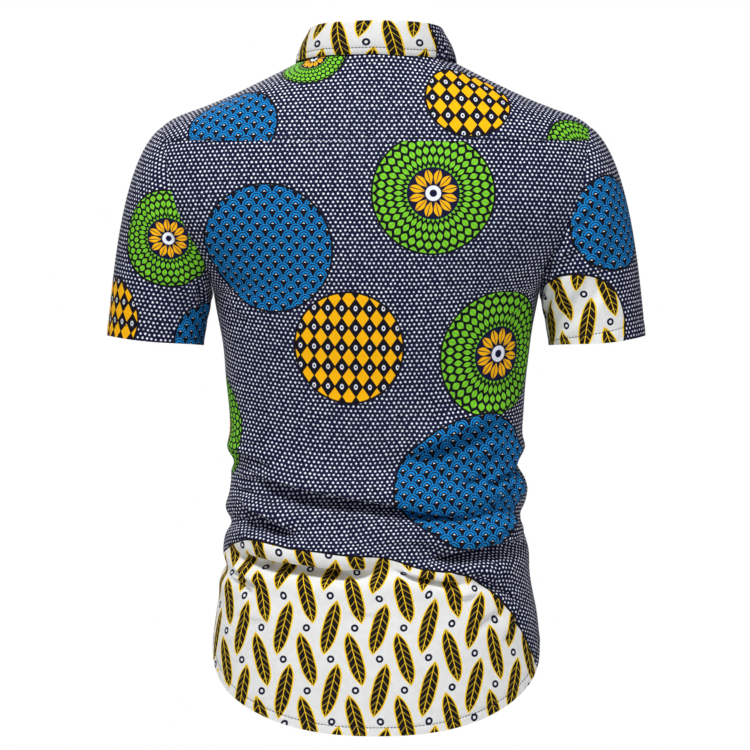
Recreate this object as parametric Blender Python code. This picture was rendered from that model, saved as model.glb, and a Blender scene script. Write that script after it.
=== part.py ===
"""A man's short-sleeve shirt, filled out as if worn, with a turn-down collar and a buttoned front.

The origin lies where the wearer carries the shirt: in the middle of the neckline, level with the lower edge
of the collar at the centre back. +Z is up, +Y is the way that the wearer faces and +X is the wearer's right.
Run it with: blender --background --python part.py
"""

import bpy
import numpy as np
from mathutils import Vector
from mathutils.bvhtree import BVHTree
from mathutils.kdtree import KDTree

MM = 0.001

# Cloth, in millimetres like all the sizes below
WALL = 1.2
SEAM_GAP = 0.36
STRAIGHT_SEAM = 0.5

# Levels and lengths of the cut
YOKE_SEAM_LEVEL = -92.0
BLADE_LEVEL = -126.0
FRONT_CHEST_LEVEL = -140.0
HEM_SIDE_LEVEL = -616.0
HEM_BACK_DROP = 104.0
HEM_FRONT_DROP = 84.0
HEM_ROUNDNESS = 2.45
FRONT_LAP_SHARE = 0.079
LAP_STEP = 2.0

# Torso sections: level, half width at the side seam, depth of the back and depth of the front
TORSO_SQUARENESS = 2.3
TORSO_COLUMNS = ("level", "half_width", "back", "front")
TORSO_SECTIONS = (
    (-720, 178, 124, 118),
    (-640, 175, 123, 118),
    (-600, 171, 120, 116),
    (-557, 164, 114, 113),
    (-515, 158, 106, 110),
    (-473, 155, 99, 107),
    (-430, 153, 96, 106),
    (-388, 155, 97, 107),
    (-346, 158, 101, 110),
    (-303, 163, 107, 115),
    (-253, 172, 113, 118),
    (-200, 180, 116, 115),
    (-150, 190, 114, 98),
    (-120, 200, 110, 82),
    (-90, 210, 103, 63),
)

# Armhole: an upright oval whose outward place changes with the level
ARMHOLE_MIDDLE = -165.0
ARMHOLE_HALF_HEIGHT = 88.0
ARMHOLE_BACK = 72.0
ARMHOLE_FRONT = 60.0
ARMPIT_LEVEL = ARMHOLE_MIDDLE - ARMHOLE_HALF_HEIGHT
ARMHOLE_COLUMNS = ("level", "outward")
ARMHOLE_SECTIONS = (
    (-253, 172),
    (-221, 181),
    (-193, 197),
    (-157, 213),
    (-125, 220),
    (-95, 224),
    (-77, 225),
)
YOKE_FRONT_ANGLE = 35.0

# Neckline and collar stand
NECK_HALF_WIDTH = 72.0
NECK_HALF_DEPTH = 60.0
NECK_MIDDLE_Y = -8.0
NECK_BACK_LEVEL = 4.0
NECK_EVEN_DROP = 9.0
NECK_FRONT_DROP = 68.0
NECK_YOKE_ANGLE = 118.0
YOKE_NECK_SHARE = 0.33
FRONT_NECK_SHARE = 0.40
STAND_SEAM = 0.4
STAND_HEIGHT_BACK = 25.0
STAND_HEIGHT_FRONT = 21.0
STAND_LEAN = 1.5
STAND_LAP_STEP = 1.0

# Collar leaf: angle round the neck from the centre back, how far its edge stands out from the neckline, how
# far it lies above the cloth, and how many degrees the edge lies back from the stand
LEAF_GAP_ANGLE = 4.0
LEAF_COLUMNS = ("angle", "outset", "lift", "swing")
LEAF_SECTIONS = (
    (0, 2.4, 2.0, 0),
    (45, 5.5, 2.8, 0),
    (75, 10.0, 3.0, 0),
    (100, 13.5, 2.6, 2),
    (125, 20.0, 2.6, 6),
    (150, 25.0, 2.8, 13),
    (176, 30.0, 3.0, 20),
)
# The leaf's turn over the stand: out from the stand and up from its top
LEAF_TURN = ((-1.2, 0.5), (-0.9, 2.8), (1.2, 4.0), (3.6, 3.0), (4.9, 0.4))

# Sleeve
SLEEVE_HEAD_MIDDLE = (205.0, 0.0, -165.0)
SLEEVE_HEM_MIDDLE = (233.5, 5.0, -303.5)
SLEEVE_HEM_HALF_WIDTH = 51.5
SLEEVE_HEM_HALF_DEPTH = 60.0
SLEEVE_HEM_TILT = 6.0
SLEEVE_TOP_SLOPE = 34.0
SLEEVE_UNDER_SLOPE = 78.0

# Main folds of the worn body, each a soft roll above a trough. Girth runs 0 at the centre back, 1 at the
# wearer's right side seam, 2 at the centre front and -1 at the left side seam.
FOLD_COLUMNS = ("girth", "level", "reach", "slope", "sag", "width", "depth")
BODY_FOLDS = (
    (-0.28, -466, 0.62, -26, 4, 13, 5.5),
    (-0.62, -494, 0.26, -64, 0, 11, 5.0),
    (-0.92, -432, 0.42, -14, 0, 12, 5.5),
    (-0.98, -494, 0.30, -10, 0, 11, 5.0),
    (-0.42, -537, 0.46, -22, 0, 14, 7.5),
    (-0.96, -541, 0.20, -50, 0, 11, 4.5),
    (0.45, -526, 0.62, 34, 0, 14, 7.0),
    (0.42, -556, 0.30, -24, 0, 10, 5.0),
    (0.44, -408, 0.34, 82, 0, 12, 5.5),
    (0.98, -430, 0.34, 16, 0, 11, 5.5),
    (0.62, -478, 0.46, 14, 0, 12, 5.0),
    (1.00, -489, 0.28, -10, 0, 15, 8.5),
    (0.20, -512, 0.40, 4, 6, 13, 2.5),
    (1.34, -446, 0.36, -22, 0, 12, 5.0),
    (1.48, -506, 0.42, 18, 0, 13, 5.5),
    (-1.34, -458, 0.36, 20, 0, 12, 5.0),
    (-1.50, -520, 0.40, -16, 0, 13, 5.5),
    (1.82, -478, 0.30, 6, 0, 13, 3.0),
    (-1.80, -484, 0.30, -6, 0, 13, 3.0),
)

# Folds of the sleeve: turn round the armhole from the shoulder tip and share of the way down
SLEEVE_FOLD_COLUMNS = ("turn", "down", "reach", "slope", "width", "depth")
SLEEVE_FOLDS = (
    (128, 0.34, 46, 0.16, 0.10, 3.5),
    (104, 0.62, 50, 0.10, 0.12, 3.0),
    (-126, 0.36, 46, 0.14, 0.10, 3.5),
    (-98, 0.66, 44, 0.08, 0.12, 2.5),
)

# Buttons: the profile gives shares of the radius and of the thickness
BUTTON_RADIUS = 5.6
BUTTON_THICKNESS = 2.2
BUTTON_SEAT = 0.35
BUTTON_SIDES = 12
BUTTON_PROFILE = ((0.52, 0.55), (0.66, 1.0), (0.86, 1.0), (1.0, 0.62), (0.94, 0.12), (0.80, 0.0))
BUTTON_LEVELS = (-135, -223, -311, -399, -487, -575)

# Rows and columns of the solids
YOKE_NECK_CELLS = 7
YOKE_SHOULDER_CELLS = 7
YOKE_BACK_CELLS = 5
YOKE_FRONT_CELLS = 3
FRONT_NECK_CELLS = 6
FRONT_LAP_CELLS = 2
FRONT_TOP_CELLS = 4
SLEEVE_CELLS = 8
LEAF_FALL_CELLS = 3
HEM_EASING = (0.0, 0.3, 0.6, 0.82)
LOWER_LEVELS = (-575, -560, -548, -537, -526, -514, -502, -490, -478, -466, -454, -442, -430, -416, -398, -370,
                -335, -300, -272, -253, -247, -236, -218, -190, -160)


def column(rows, names, name):
    """One named column of a table."""
    return np.array([row[names.index(name)] for row in rows], float)


def smooth_table(x, xs, ys):
    """A curve with even slopes through a table's points."""
    order = np.argsort(xs)
    xs, ys = xs[order], ys[order]
    slopes = np.gradient(ys, xs)
    x = np.clip(x, xs[0], xs[-1])
    i = np.clip(np.searchsorted(xs, x) - 1, 0, len(xs) - 2)
    step = xs[i + 1] - xs[i]
    t = (x - xs[i]) / step
    rise = t * t * (3 - 2 * t)
    leave = t * (1 - t) ** 2
    arrive = t * t * (t - 1)
    return ys[i] * (1 - rise) + ys[i + 1] * rise + step * (slopes[i] * leave + slopes[i + 1] * arrive)


def smoothstep(t):
    t = np.clip(t, 0.0, 1.0)
    return t * t * (3 - 2 * t)


def unit(v):
    return v / np.maximum(np.linalg.norm(v, axis=-1, keepdims=True), 1e-12)


def stack(x, y, z):
    return np.stack(np.broadcast_arrays(x, y, z), axis=-1)


def between(a, b, t):
    return a * (1 - t[..., None]) + b * t[..., None]


def side_of(share):
    return np.where(share < 0, -1.0, 1.0)


def bezier(p0, t0, t1, p1, share):
    """A curve from p0, leaving along t0, to p1, arriving along t1."""
    reach = np.linalg.norm(p1 - p0, axis=-1, keepdims=True) * 0.40
    a = p0 + t0 * reach
    b = p1 - t1 * reach
    s = share[..., None]
    return (1 - s) ** 3 * p0 + 3 * s * (1 - s) ** 2 * a + 3 * s * s * (1 - s) * b + s ** 3 * p1


# The body below the yoke: level sections, each an arc from the centre line to the side


def armhole_point(turn):
    """The right armhole's seam. Turn is in degrees from the shoulder tip, positive down the back."""
    w = np.radians(turn)
    level = ARMHOLE_MIDDLE + ARMHOLE_HALF_HEIGHT * np.cos(w)
    outward = smooth_table(level, column(ARMHOLE_SECTIONS, ARMHOLE_COLUMNS, "level"),
                           column(ARMHOLE_SECTIONS, ARMHOLE_COLUMNS, "outward"))
    depth = np.where(np.sin(w) > 0, ARMHOLE_BACK, ARMHOLE_FRONT)
    return stack(outward, -depth * np.sin(w), level)


def armhole_turn(level):
    return np.degrees(np.arccos(np.clip((level - ARMHOLE_MIDDLE) / ARMHOLE_HALF_HEIGHT, -1, 1)))


def torso(name, level):
    return smooth_table(level, column(TORSO_SECTIONS, TORSO_COLUMNS, "level"),
                        column(TORSO_SECTIONS, TORSO_COLUMNS, name))


ARC_STEPS = 80
ARC_RISE = 2.0
ARC_LEVELS = np.arange(-730, -84, ARC_RISE)


def section_arc(level, side):
    """Half of the back's or the front's section at one level, at even steps from the centre line."""
    depth = float(torso(side, level))
    edge_x = float(torso("half_width", level))
    edge_y = 0.0
    if level > ARMPIT_LEVEL:
        seam = armhole_point(armhole_turn(level) * (1 if side == "back" else -1))
        edge_x = seam[0]
        edge_y = abs(seam[1])
    power = 2 / TORSO_SQUARENESS
    last = np.arccos(min(1.0, (edge_y / depth) ** (1 / power)))
    angle = np.linspace(0, last, 181)
    x = edge_x * (np.sin(angle) / np.sin(last)) ** power
    y = depth * np.cos(angle) ** power
    run = np.concatenate([[0], np.cumsum(np.hypot(np.diff(x), np.diff(y)))])
    even = np.linspace(0, run[-1], ARC_STEPS + 1)
    return np.interp(even, run, x), np.interp(even, run, y)


ARCS = {side: np.array([section_arc(level, side) for level in ARC_LEVELS]) for side in ("back", "front")}


def smooth_body(side, share, level):
    """The body without folds. Share runs from 0 at the centre line to 1 at the right edge, -1 at the left."""
    across, up = np.broadcast_arrays(np.clip(np.abs(share), 0, 1) * ARC_STEPS, (level - ARC_LEVELS[0]) / ARC_RISE)
    up = np.clip(up, 0, len(ARC_LEVELS) - 1.001)
    j = np.minimum(across.astype(int), ARC_STEPS - 1)
    i = up.astype(int)
    s = across - j
    t = up - i
    picked = []
    for k in (0, 1):
        arc = ARCS[side][:, k]
        below = (1 - s) * arc[i, j] + s * arc[i, j + 1]
        above = (1 - s) * arc[i + 1, j] + s * arc[i + 1, j + 1]
        picked.append((1 - t) * below + t * above)
    way = -1 if side == "back" else 1
    return stack(side_of(share) * picked[0], way * picked[1], level)


def body_normal(side, share, level):
    """Which way the cloth faces."""
    nudge = 0.012
    rise = 3.0
    over = np.maximum(np.abs(share) + nudge - 1, 0) * side_of(share)
    across = smooth_body(side, share + nudge - over, level) - smooth_body(side, share - nudge - over, level)
    up = smooth_body(side, share, level + rise) - smooth_body(side, share, level - rise)
    return unit(np.cross(across, up) if side == "back" else np.cross(up, across))


def fold_rise(girth, level):
    """How far the main folds lift the cloth off the smooth body."""
    rise = np.zeros(np.broadcast(girth, level).shape)
    for fold in BODY_FOLDS:
        f = dict(zip(FOLD_COLUMNS, fold))
        away = (girth - f["girth"] + 2) % 4 - 2
        along = away / f["reach"]
        line = f["level"] + f["slope"] * away - f["sag"] * (1 - along ** 2)
        t = (level - line) / f["width"]
        roll = 0.75 * np.exp(-((t - 1.15) ** 2)) + 0.35 * np.exp(-((t + 1.5) ** 2))
        rise += f["depth"] * (roll - np.exp(-(t ** 2) / 0.8)) * np.exp(-(along ** 4) * 1.2)
    return rise


def body_point(side, share, level):
    girth = share if side == "back" else side_of(share) * (2 - np.abs(share))
    return smooth_body(side, share, level) + body_normal(side, share, level) * fold_rise(girth, level)[..., None]


def hem_level(side, share):
    """The shirt tail's curve, highest at the side seam."""
    across = np.abs(smooth_body(side, share, HEM_SIDE_LEVEL)[..., 0]) / float(torso("half_width", HEM_SIDE_LEVEL))
    drop = HEM_BACK_DROP if side == "back" else HEM_FRONT_DROP
    return HEM_SIDE_LEVEL - drop * (1 - np.clip(across, 0, 1) ** HEM_ROUNDNESS) ** (1 / HEM_ROUNDNESS)


# The shoulders: the neckline, the ridge and the panels between the seams


def neck_point(angle):
    """The neckline. Angle is in degrees from the centre back, positive towards the wearer's right."""
    a = np.radians(angle)
    round_front = (1 - np.cos(a)) / 2
    level = NECK_BACK_LEVEL - NECK_EVEN_DROP * round_front - NECK_FRONT_DROP * round_front ** 4
    return stack(NECK_HALF_WIDTH * np.sin(a), NECK_MIDDLE_Y - NECK_HALF_DEPTH * np.cos(a), level)


def neck_outward(angle):
    a = np.radians(angle)
    return stack(np.sin(a), -np.cos(a), 0)


def ridge_point(t):
    """The top of the right shoulder, from the neck to the tip."""
    bulge = 3.2 * np.sin(np.pi * t ** 6) - 2.0 * np.sin(np.pi * t)
    return between(neck_point(90.0), armhole_point(0.0), t) + stack(0, 0, bulge)


def front_seam_point(t):
    """Where the yoke meets the right front, from the neck to the armhole."""
    bulge = 2.0 * np.sin(np.pi * t)
    return between(neck_point(NECK_YOKE_ANGLE), armhole_point(-YOKE_FRONT_ANGLE), t) + stack(0, bulge, bulge)


def raised(elevation, way):
    """A direction in the fore-and-aft plane, so many degrees above the level."""
    e = np.radians(elevation)
    return stack(0, way * np.cos(e), np.sin(e))


def mirrored(function, share, rise):
    """Works out the right half and mirrors it for negative shares."""
    return function(np.abs(share), np.full_like(share, rise)) * stack(side_of(share), 1, 1)


def yoke_back_right(share, rise):
    """From the back yoke seam, rise 0, up to the neckline and the ridge, rise 1."""

    def strip(at, arrive, top):
        foot = smooth_body("back", at, YOKE_SEAM_LEVEL)
        leave = unit(foot - smooth_body("back", at, YOKE_SEAM_LEVEL - 6))
        return bezier(foot, leave, arrive, top, rise)

    in_neck = np.clip(share / YOKE_NECK_SHARE, 0, 1)
    along = np.clip((share - YOKE_NECK_SHARE) / (1 - YOKE_NECK_SHARE), 0, 1)
    top = np.where((share < YOKE_NECK_SHARE)[..., None], neck_point(90 * in_neck), ridge_point(along))
    p = strip(share, raised(68 * np.cos(np.radians(90 * in_neck)), 1), top)
    one = np.ones_like(rise)
    edge = strip(one, raised(0 * one, 1), ridge_point(one))
    wanted = armhole_point(armhole_turn(YOKE_SEAM_LEVEL) * (1 - rise))
    return p + (wanted - edge) * smoothstep((share - 0.55) / 0.45)[..., None]


def yoke_front_right(share, fall):
    """From the ridge, fall 0, down to the front yoke seam, fall 1."""

    def strip(t):
        return bezier(ridge_point(t), raised(0 * fall, 1), raised(0 * fall - 42, 1), front_seam_point(t), fall)

    along = np.clip((share - YOKE_NECK_SHARE) / (1 - YOKE_NECK_SHARE), 0, 1)
    outer = armhole_point(-YOKE_FRONT_ANGLE * fall) - strip(np.ones_like(fall))
    inner = neck_point(90 + (NECK_YOKE_ANGLE - 90) * fall) - strip(np.zeros_like(fall))
    near_arm = smoothstep((along - 0.4) / 0.6)[..., None]
    near_neck = smoothstep(1 - along / 0.4)[..., None]
    return strip(along) + outer * near_arm + inner * near_neck


def front_top_right(share, rise):
    """From the chest, rise 0, up to the neckline and the front yoke seam, rise 1."""

    def strip(at, arrive, top):
        foot = smooth_body("front", at, FRONT_CHEST_LEVEL)
        leave = unit(foot - smooth_body("front", at, FRONT_CHEST_LEVEL - 6))
        return bezier(foot, leave, arrive, top, rise)

    in_neck = np.clip(share / FRONT_NECK_SHARE, 0, 1)
    along = np.clip((share - FRONT_NECK_SHARE) / (1 - FRONT_NECK_SHARE), 0, 1)
    top = np.where((share < FRONT_NECK_SHARE)[..., None],
                   neck_point(180 - (180 - NECK_YOKE_ANGLE) * in_neck), front_seam_point(along))
    p = strip(share, raised(57 - 15 * in_neck, -1), top)
    one = np.ones_like(rise)
    edge = strip(one, raised(42 * one, -1), front_seam_point(one))
    low_turn = armhole_turn(FRONT_CHEST_LEVEL)
    wanted = armhole_point(-(low_turn + (YOKE_FRONT_ANGLE - low_turn) * rise))
    return p + (wanted - edge) * smoothstep((share - 0.55) / 0.45)[..., None]


# The panels as grids of points, rows by columns


def row_levels(share, side, top_levels):
    """Levels of a lower panel's rows: the hem's curve, eased into level rows."""
    hem = hem_level(side, share)
    eased = [hem + (LOWER_LEVELS[0] - hem) * t for t in HEM_EASING]
    return np.array(eased + [np.full_like(share, level) for level in (*LOWER_LEVELS, *top_levels)])


def yoke_shares():
    neck = np.linspace(0, YOKE_NECK_SHARE, YOKE_NECK_CELLS + 1)
    shoulder = np.linspace(YOKE_NECK_SHARE, 1, YOKE_SHOULDER_CELLS + 1)[1:]
    right = np.concatenate([neck, shoulder])
    return np.concatenate([-right[:0:-1], right])


def back_points():
    share = yoke_shares()
    level = row_levels(share, "back", (BLADE_LEVEL, YOKE_SEAM_LEVEL))
    return body_point("back", np.broadcast_to(share, level.shape), level)


def yoke_points():
    """The yoke's grid and which of its cells are cloth: the neck's are not."""
    share = yoke_shares()
    rises = np.linspace(0, 1, YOKE_BACK_CELLS + 1)
    falls = np.linspace(0, 1, YOKE_FRONT_CELLS + 1)[1:]
    rows = [mirrored(yoke_back_right, share, rise) for rise in rises]
    rows += [mirrored(yoke_front_right, share, fall) for fall in falls]
    keep = np.ones((len(rows) - 1, len(share) - 1), bool)
    in_neck = np.abs(share[1:] + share[:-1]) / 2 < YOKE_NECK_SHARE
    keep[YOKE_BACK_CELLS:, in_neck] = False
    return np.array(rows), keep


def front_points(way, inset):
    """One front, from its side seam past the centre line. Way is 1 for the wearer's right, -1 for the left."""
    shoulder = np.linspace(1, FRONT_NECK_SHARE, YOKE_SHOULDER_CELLS + 1)
    neck = np.linspace(FRONT_NECK_SHARE, FRONT_LAP_SHARE, FRONT_NECK_CELLS + 1)[1:]
    edge = np.linspace(FRONT_LAP_SHARE, -FRONT_LAP_SHARE, FRONT_LAP_CELLS + 1)[1:]
    share = way * np.concatenate([shoulder, neck, edge])
    level = row_levels(share, "front", (FRONT_CHEST_LEVEL,))
    lower = body_point("front", np.broadcast_to(share, level.shape), level)
    rises = np.linspace(0, 1, FRONT_TOP_CELLS + 1)[1:]
    upper = np.array([mirrored(front_top_right, share, rise) for rise in rises])
    points = np.concatenate([lower, upper])
    facing = unit(np.cross(np.gradient(points, axis=1), np.gradient(points, axis=0))) * way
    near_middle = smoothstep(1 - (way * share - FRONT_LAP_SHARE) / 0.10)
    return points - facing * inset * near_middle[:, None]


def sleeve_turns():
    """Turns round the armhole at every row of the panels that the sleeve is sewn to."""
    body = armhole_turn(np.array([level for level in LOWER_LEVELS if level >= ARMPIT_LEVEL], float))
    back = armhole_turn(np.array([BLADE_LEVEL, YOKE_SEAM_LEVEL]))
    yoke_back = back[-1] * (1 - np.linspace(0, 1, YOKE_BACK_CELLS + 1)[1:])
    yoke_front = -YOKE_FRONT_ANGLE * np.linspace(0, 1, YOKE_FRONT_CELLS + 1)[1:]
    low_turn = armhole_turn(FRONT_CHEST_LEVEL)
    front = -(low_turn + (YOKE_FRONT_ANGLE - low_turn) * np.linspace(0, 1, FRONT_TOP_CELLS + 1)[:-1])
    return np.sort(np.concatenate([body, back, yoke_back, yoke_front, front, -body[1:]]))


def sleeve_fold_rise(turn, down):
    rise = np.zeros(np.broadcast(turn, down).shape)
    for fold in SLEEVE_FOLDS:
        f = dict(zip(SLEEVE_FOLD_COLUMNS, fold))
        along = ((turn - f["turn"] + 180) % 360 - 180) / f["reach"]
        t = (down - f["down"] - f["slope"] * along) / f["width"]
        roll = 0.7 * np.exp(-((t + 1.1) ** 2)) + 0.4 * np.exp(-((t - 1.4) ** 2))
        rise += f["depth"] * (roll - np.exp(-(t ** 2))) * np.exp(-(along ** 4) * 1.2)
    return rise * smoothstep(down / 0.12)


def sleeve_point(turn, down):
    """The right sleeve. Down runs from 0 at the armhole to 1 at the hem."""
    w = np.radians(turn)
    tilt = np.radians(SLEEVE_HEM_TILT)
    across = stack(np.cos(tilt), 0, np.sin(tilt)) * (SLEEVE_HEM_HALF_WIDTH * np.cos(w))[..., None]
    hem = np.array(SLEEVE_HEM_MIDDLE) + across - stack(0, SLEEVE_HEM_HALF_DEPTH * np.sin(w), 0)
    top_share = (1 + np.cos(w)) / 2
    slope = np.radians(SLEEVE_UNDER_SLOPE + (SLEEVE_TOP_SLOPE - SLEEVE_UNDER_SLOPE) * top_share)
    leave = stack(np.cos(slope), -0.16 * np.sin(w), -np.sin(slope)) * (40 + 120 * top_share)[..., None]
    arrive = stack(np.sin(tilt), 0, -np.cos(tilt)) * (50 + 130 * top_share)[..., None]
    t = down[..., None]
    p = (2 * t ** 3 - 3 * t ** 2 + 1) * armhole_point(turn) + (t ** 3 - 2 * t ** 2 + t) * leave
    p = p + (3 * t ** 2 - 2 * t ** 3) * hem + (t ** 3 - t ** 2) * arrive
    middle = between(np.array(SLEEVE_HEAD_MIDDLE), np.array(SLEEVE_HEM_MIDDLE), down)
    return p + unit((p - middle) * stack(1, 1, 0.25)) * sleeve_fold_rise(turn, down)[..., None]


def sleeve_points():
    turn, down = np.meshgrid(sleeve_turns(), np.linspace(0, 1, SLEEVE_CELLS + 1))
    return sleeve_point(turn, down)


# The collar


LAP_ANGLE = (180 - NECK_YOKE_ANGLE) * FRONT_LAP_SHARE / FRONT_NECK_SHARE


def neck_angles(ends):
    """Angles of the neckline's points, as the panels below have them, with the last ones given."""
    yoke_back = np.linspace(0, 90, YOKE_NECK_CELLS + 1)
    yoke_front = np.linspace(90, NECK_YOKE_ANGLE, YOKE_FRONT_CELLS + 1)[1:]
    front = np.linspace(NECK_YOKE_ANGLE, 180 - LAP_ANGLE, FRONT_NECK_CELLS + 1)[1:]
    right = np.concatenate([yoke_back, yoke_front, front, ends])
    return np.concatenate([-right[:0:-1], right])


def stand_point(angle, rise):
    """The collar stand, which rises from the neckline, leans in a little and laps at the front."""
    round_front = (1 - np.cos(np.radians(angle))) / 2
    height = STAND_HEIGHT_BACK + (STAND_HEIGHT_FRONT - STAND_HEIGHT_BACK) * round_front
    lap = -side_of(angle) * STAND_LAP_STEP * smoothstep((np.abs(angle) - 140) / 30)
    step_out = neck_outward(angle) * (lap - STAND_LEAN * rise)[..., None]
    return neck_point(angle) + step_out + stack(0, 0, STAND_SEAM + rise * height)


def leaf_table(name, angle):
    return smooth_table(np.abs(angle), column(LEAF_SECTIONS, LEAF_COLUMNS, "angle"),
                        column(LEAF_SECTIONS, LEAF_COLUMNS, name))


def leaf_edge(angle, cloth):
    """The free edge of the collar leaf, laid on the cloth below it."""
    back_round = angle - side_of(angle) * leaf_table("swing", angle)
    plan = neck_point(back_round) + neck_outward(back_round) * leaf_table("outset", angle)[..., None]
    edge = []
    for point, lift in zip(plan, leaf_table("lift", angle)):
        hit, facing, _, _ = cloth.ray_cast(Vector((point[0], point[1], 60.0)), Vector((0, 0, -1)))
        up = facing if facing.z > 0 else -facing
        edge.append(np.array(hit + up * lift))
    return np.array(edge)


def leaf_points(cloth):
    """The leaf's rows: over the stand's top and down to the free edge."""
    angle = neck_angles([180 - LEAF_GAP_ANGLE])
    outward = neck_outward(angle)
    top = stand_point(angle, np.ones_like(angle))
    rows = [top + outward * out + stack(0, 0, up) for out, up in LEAF_TURN]
    start = rows[-1]
    edge = leaf_edge(angle, cloth)
    for step in range(1, LEAF_FALL_CELLS + 1):
        t = step / LEAF_FALL_CELLS
        rows.append(start * (1 - t) + edge * t + outward * 2.2 * np.sin(np.pi * t))
    return np.array(rows)


# Panels to named solids


class Panel:
    """One piece of cloth as a mesh of its outer face, before it gets its wall."""

    def __init__(self, name, points, material, keep=None, closed=False, flip=False):
        rows, columns = points.shape[:2]
        faces = []
        for i in range(rows - 1):
            for j in range(columns if closed else columns - 1):
                if keep is None or keep[i, j]:
                    k = (j + 1) % columns
                    face = (i * columns + j, i * columns + k, (i + 1) * columns + k, (i + 1) * columns + j)
                    faces.append(face[::-1] if flip else face)
        used = sorted({v for face in faces for v in face})
        place = {v: n for n, v in enumerate(used)}
        self.name = name
        self.material = material
        self.points = points.reshape(-1, 3)[used]
        self.faces = np.array([[place[v] for v in face] for face in faces])
        corners = self.points[self.faces]
        face_normals = np.cross(corners[:, 2] - corners[:, 0], corners[:, 3] - corners[:, 1])
        self.normals = np.zeros_like(self.points)
        for k in range(4):
            np.add.at(self.normals, self.faces[:, k], unit(face_normals))
        self.normals = unit(self.normals)
        self.find_edge()

    def find_edge(self):
        """The open edge's sides, and at each of its points the way in from the edge."""
        sides = {}
        for face in self.faces:
            for k in range(4):
                a, b = int(face[k]), int(face[(k + 1) % 4])
                if sides.pop((b, a), None) is None:
                    sides[(a, b)] = face
        self.edge = list(sides)
        ways = {}
        for (a, b), face in sides.items():
            along = unit(self.points[b] - self.points[a])
            inward = self.points[face].mean(0) - self.points[a]
            for v in (a, b):
                flat = inward - self.normals[v] * np.dot(inward, self.normals[v])
                ways.setdefault(v, []).append(unit(flat - along * np.dot(flat, along)))
        self.inward = {v: (w[0] + w[1]) / (1 + np.dot(w[0], w[1])) for v, w in ways.items()}

    def walled(self, tree, owners):
        """Outer and inner points: edges pulled back by half the gap, and mitred where two panels turn away."""
        outer = self.points.copy()
        inner = self.points - self.normals * WALL
        for v, inward in self.inward.items():
            mitre = self.normals[v].copy()
            for _, index, _ in tree.find_range(Vector(self.points[v]), STRAIGHT_SEAM):
                owner, normal = owners[index]
                if owner is not self and np.dot(normal, inward) < 0:
                    mitre += normal
            mitre = unit(mitre)
            outer[v] = self.points[v] + inward * SEAM_GAP / 2
            inner[v] = outer[v] - mitre * WALL / max(np.dot(mitre, self.normals[v]), 0.6)
        return outer, inner

    def build(self, tree, owners):
        outer, inner = self.walled(tree, owners)
        count = len(outer)
        faces = [tuple(face) for face in self.faces]
        faces += [tuple(face[::-1] + count) for face in self.faces]
        faces += [(b, a, a + count, b + count) for a, b in self.edge]
        mesh = bpy.data.meshes.new(self.name)
        mesh.from_pydata([tuple(p * MM) for p in np.concatenate([outer, inner])], [], faces)
        add_object(self.name, mesh, self.material)


def add_object(name, mesh, material):
    mesh.materials.append(material)
    mesh.shade_smooth()
    mesh.set_sharp_from_angle(angle=np.radians(50))
    piece = bpy.data.objects.new(name, mesh)
    bpy.context.scene.collection.objects.link(piece)
    return piece


def plain_material(name, colour, roughness):
    made = bpy.data.materials.new(name)
    made.use_nodes = True
    shader = made.node_tree.nodes["Principled BSDF"]
    shader.inputs["Base Color"].default_value = (*colour, 1)
    shader.inputs["Roughness"].default_value = roughness
    shader.inputs["Metallic"].default_value = 0.0
    return made


def cloth_tree(panels):
    """The panels' outer faces, for laying the collar and the buttons on them."""
    points = []
    faces = []
    for panel in panels:
        first = len(points)
        points += [Vector(p) for p in panel.points]
        faces += [tuple(int(v) + first for v in face) for face in panel.faces]
    return BVHTree.FromPolygons(points, faces)


def add_button(name, place, facing, material):
    """A round shirt button with a rolled rim and a dished middle, seated on the cloth."""
    turns = np.arange(BUTTON_SIDES) * 2 * np.pi / BUTTON_SIDES
    points = [(0, 0, BUTTON_PROFILE[0][1] * BUTTON_THICKNESS), (0, 0, 0)]
    for radius, height in BUTTON_PROFILE:
        reach = radius * BUTTON_RADIUS
        points += [(reach * np.cos(a), reach * np.sin(a), height * BUTTON_THICKNESS) for a in turns]
    faces = []
    last = 2 + BUTTON_SIDES * (len(BUTTON_PROFILE) - 1)
    for k in range(BUTTON_SIDES):
        n = (k + 1) % BUTTON_SIDES
        faces.append((0, 2 + k, 2 + n))
        for first in range(2, last, BUTTON_SIDES):
            faces.append((first + k, first + BUTTON_SIDES + k, first + BUTTON_SIDES + n, first + n))
        faces.append((1, last + n, last + k))
    mesh = bpy.data.meshes.new(name)
    mesh.from_pydata([tuple(np.array(p) * MM) for p in points], [], faces)
    piece = add_object(name, mesh, material)
    piece.rotation_mode = "QUATERNION"
    piece.rotation_quaternion = Vector(facing).to_track_quat("Z", "Y")
    piece.location = (Vector(place) + Vector(facing) * BUTTON_SEAT) * MM


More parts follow.
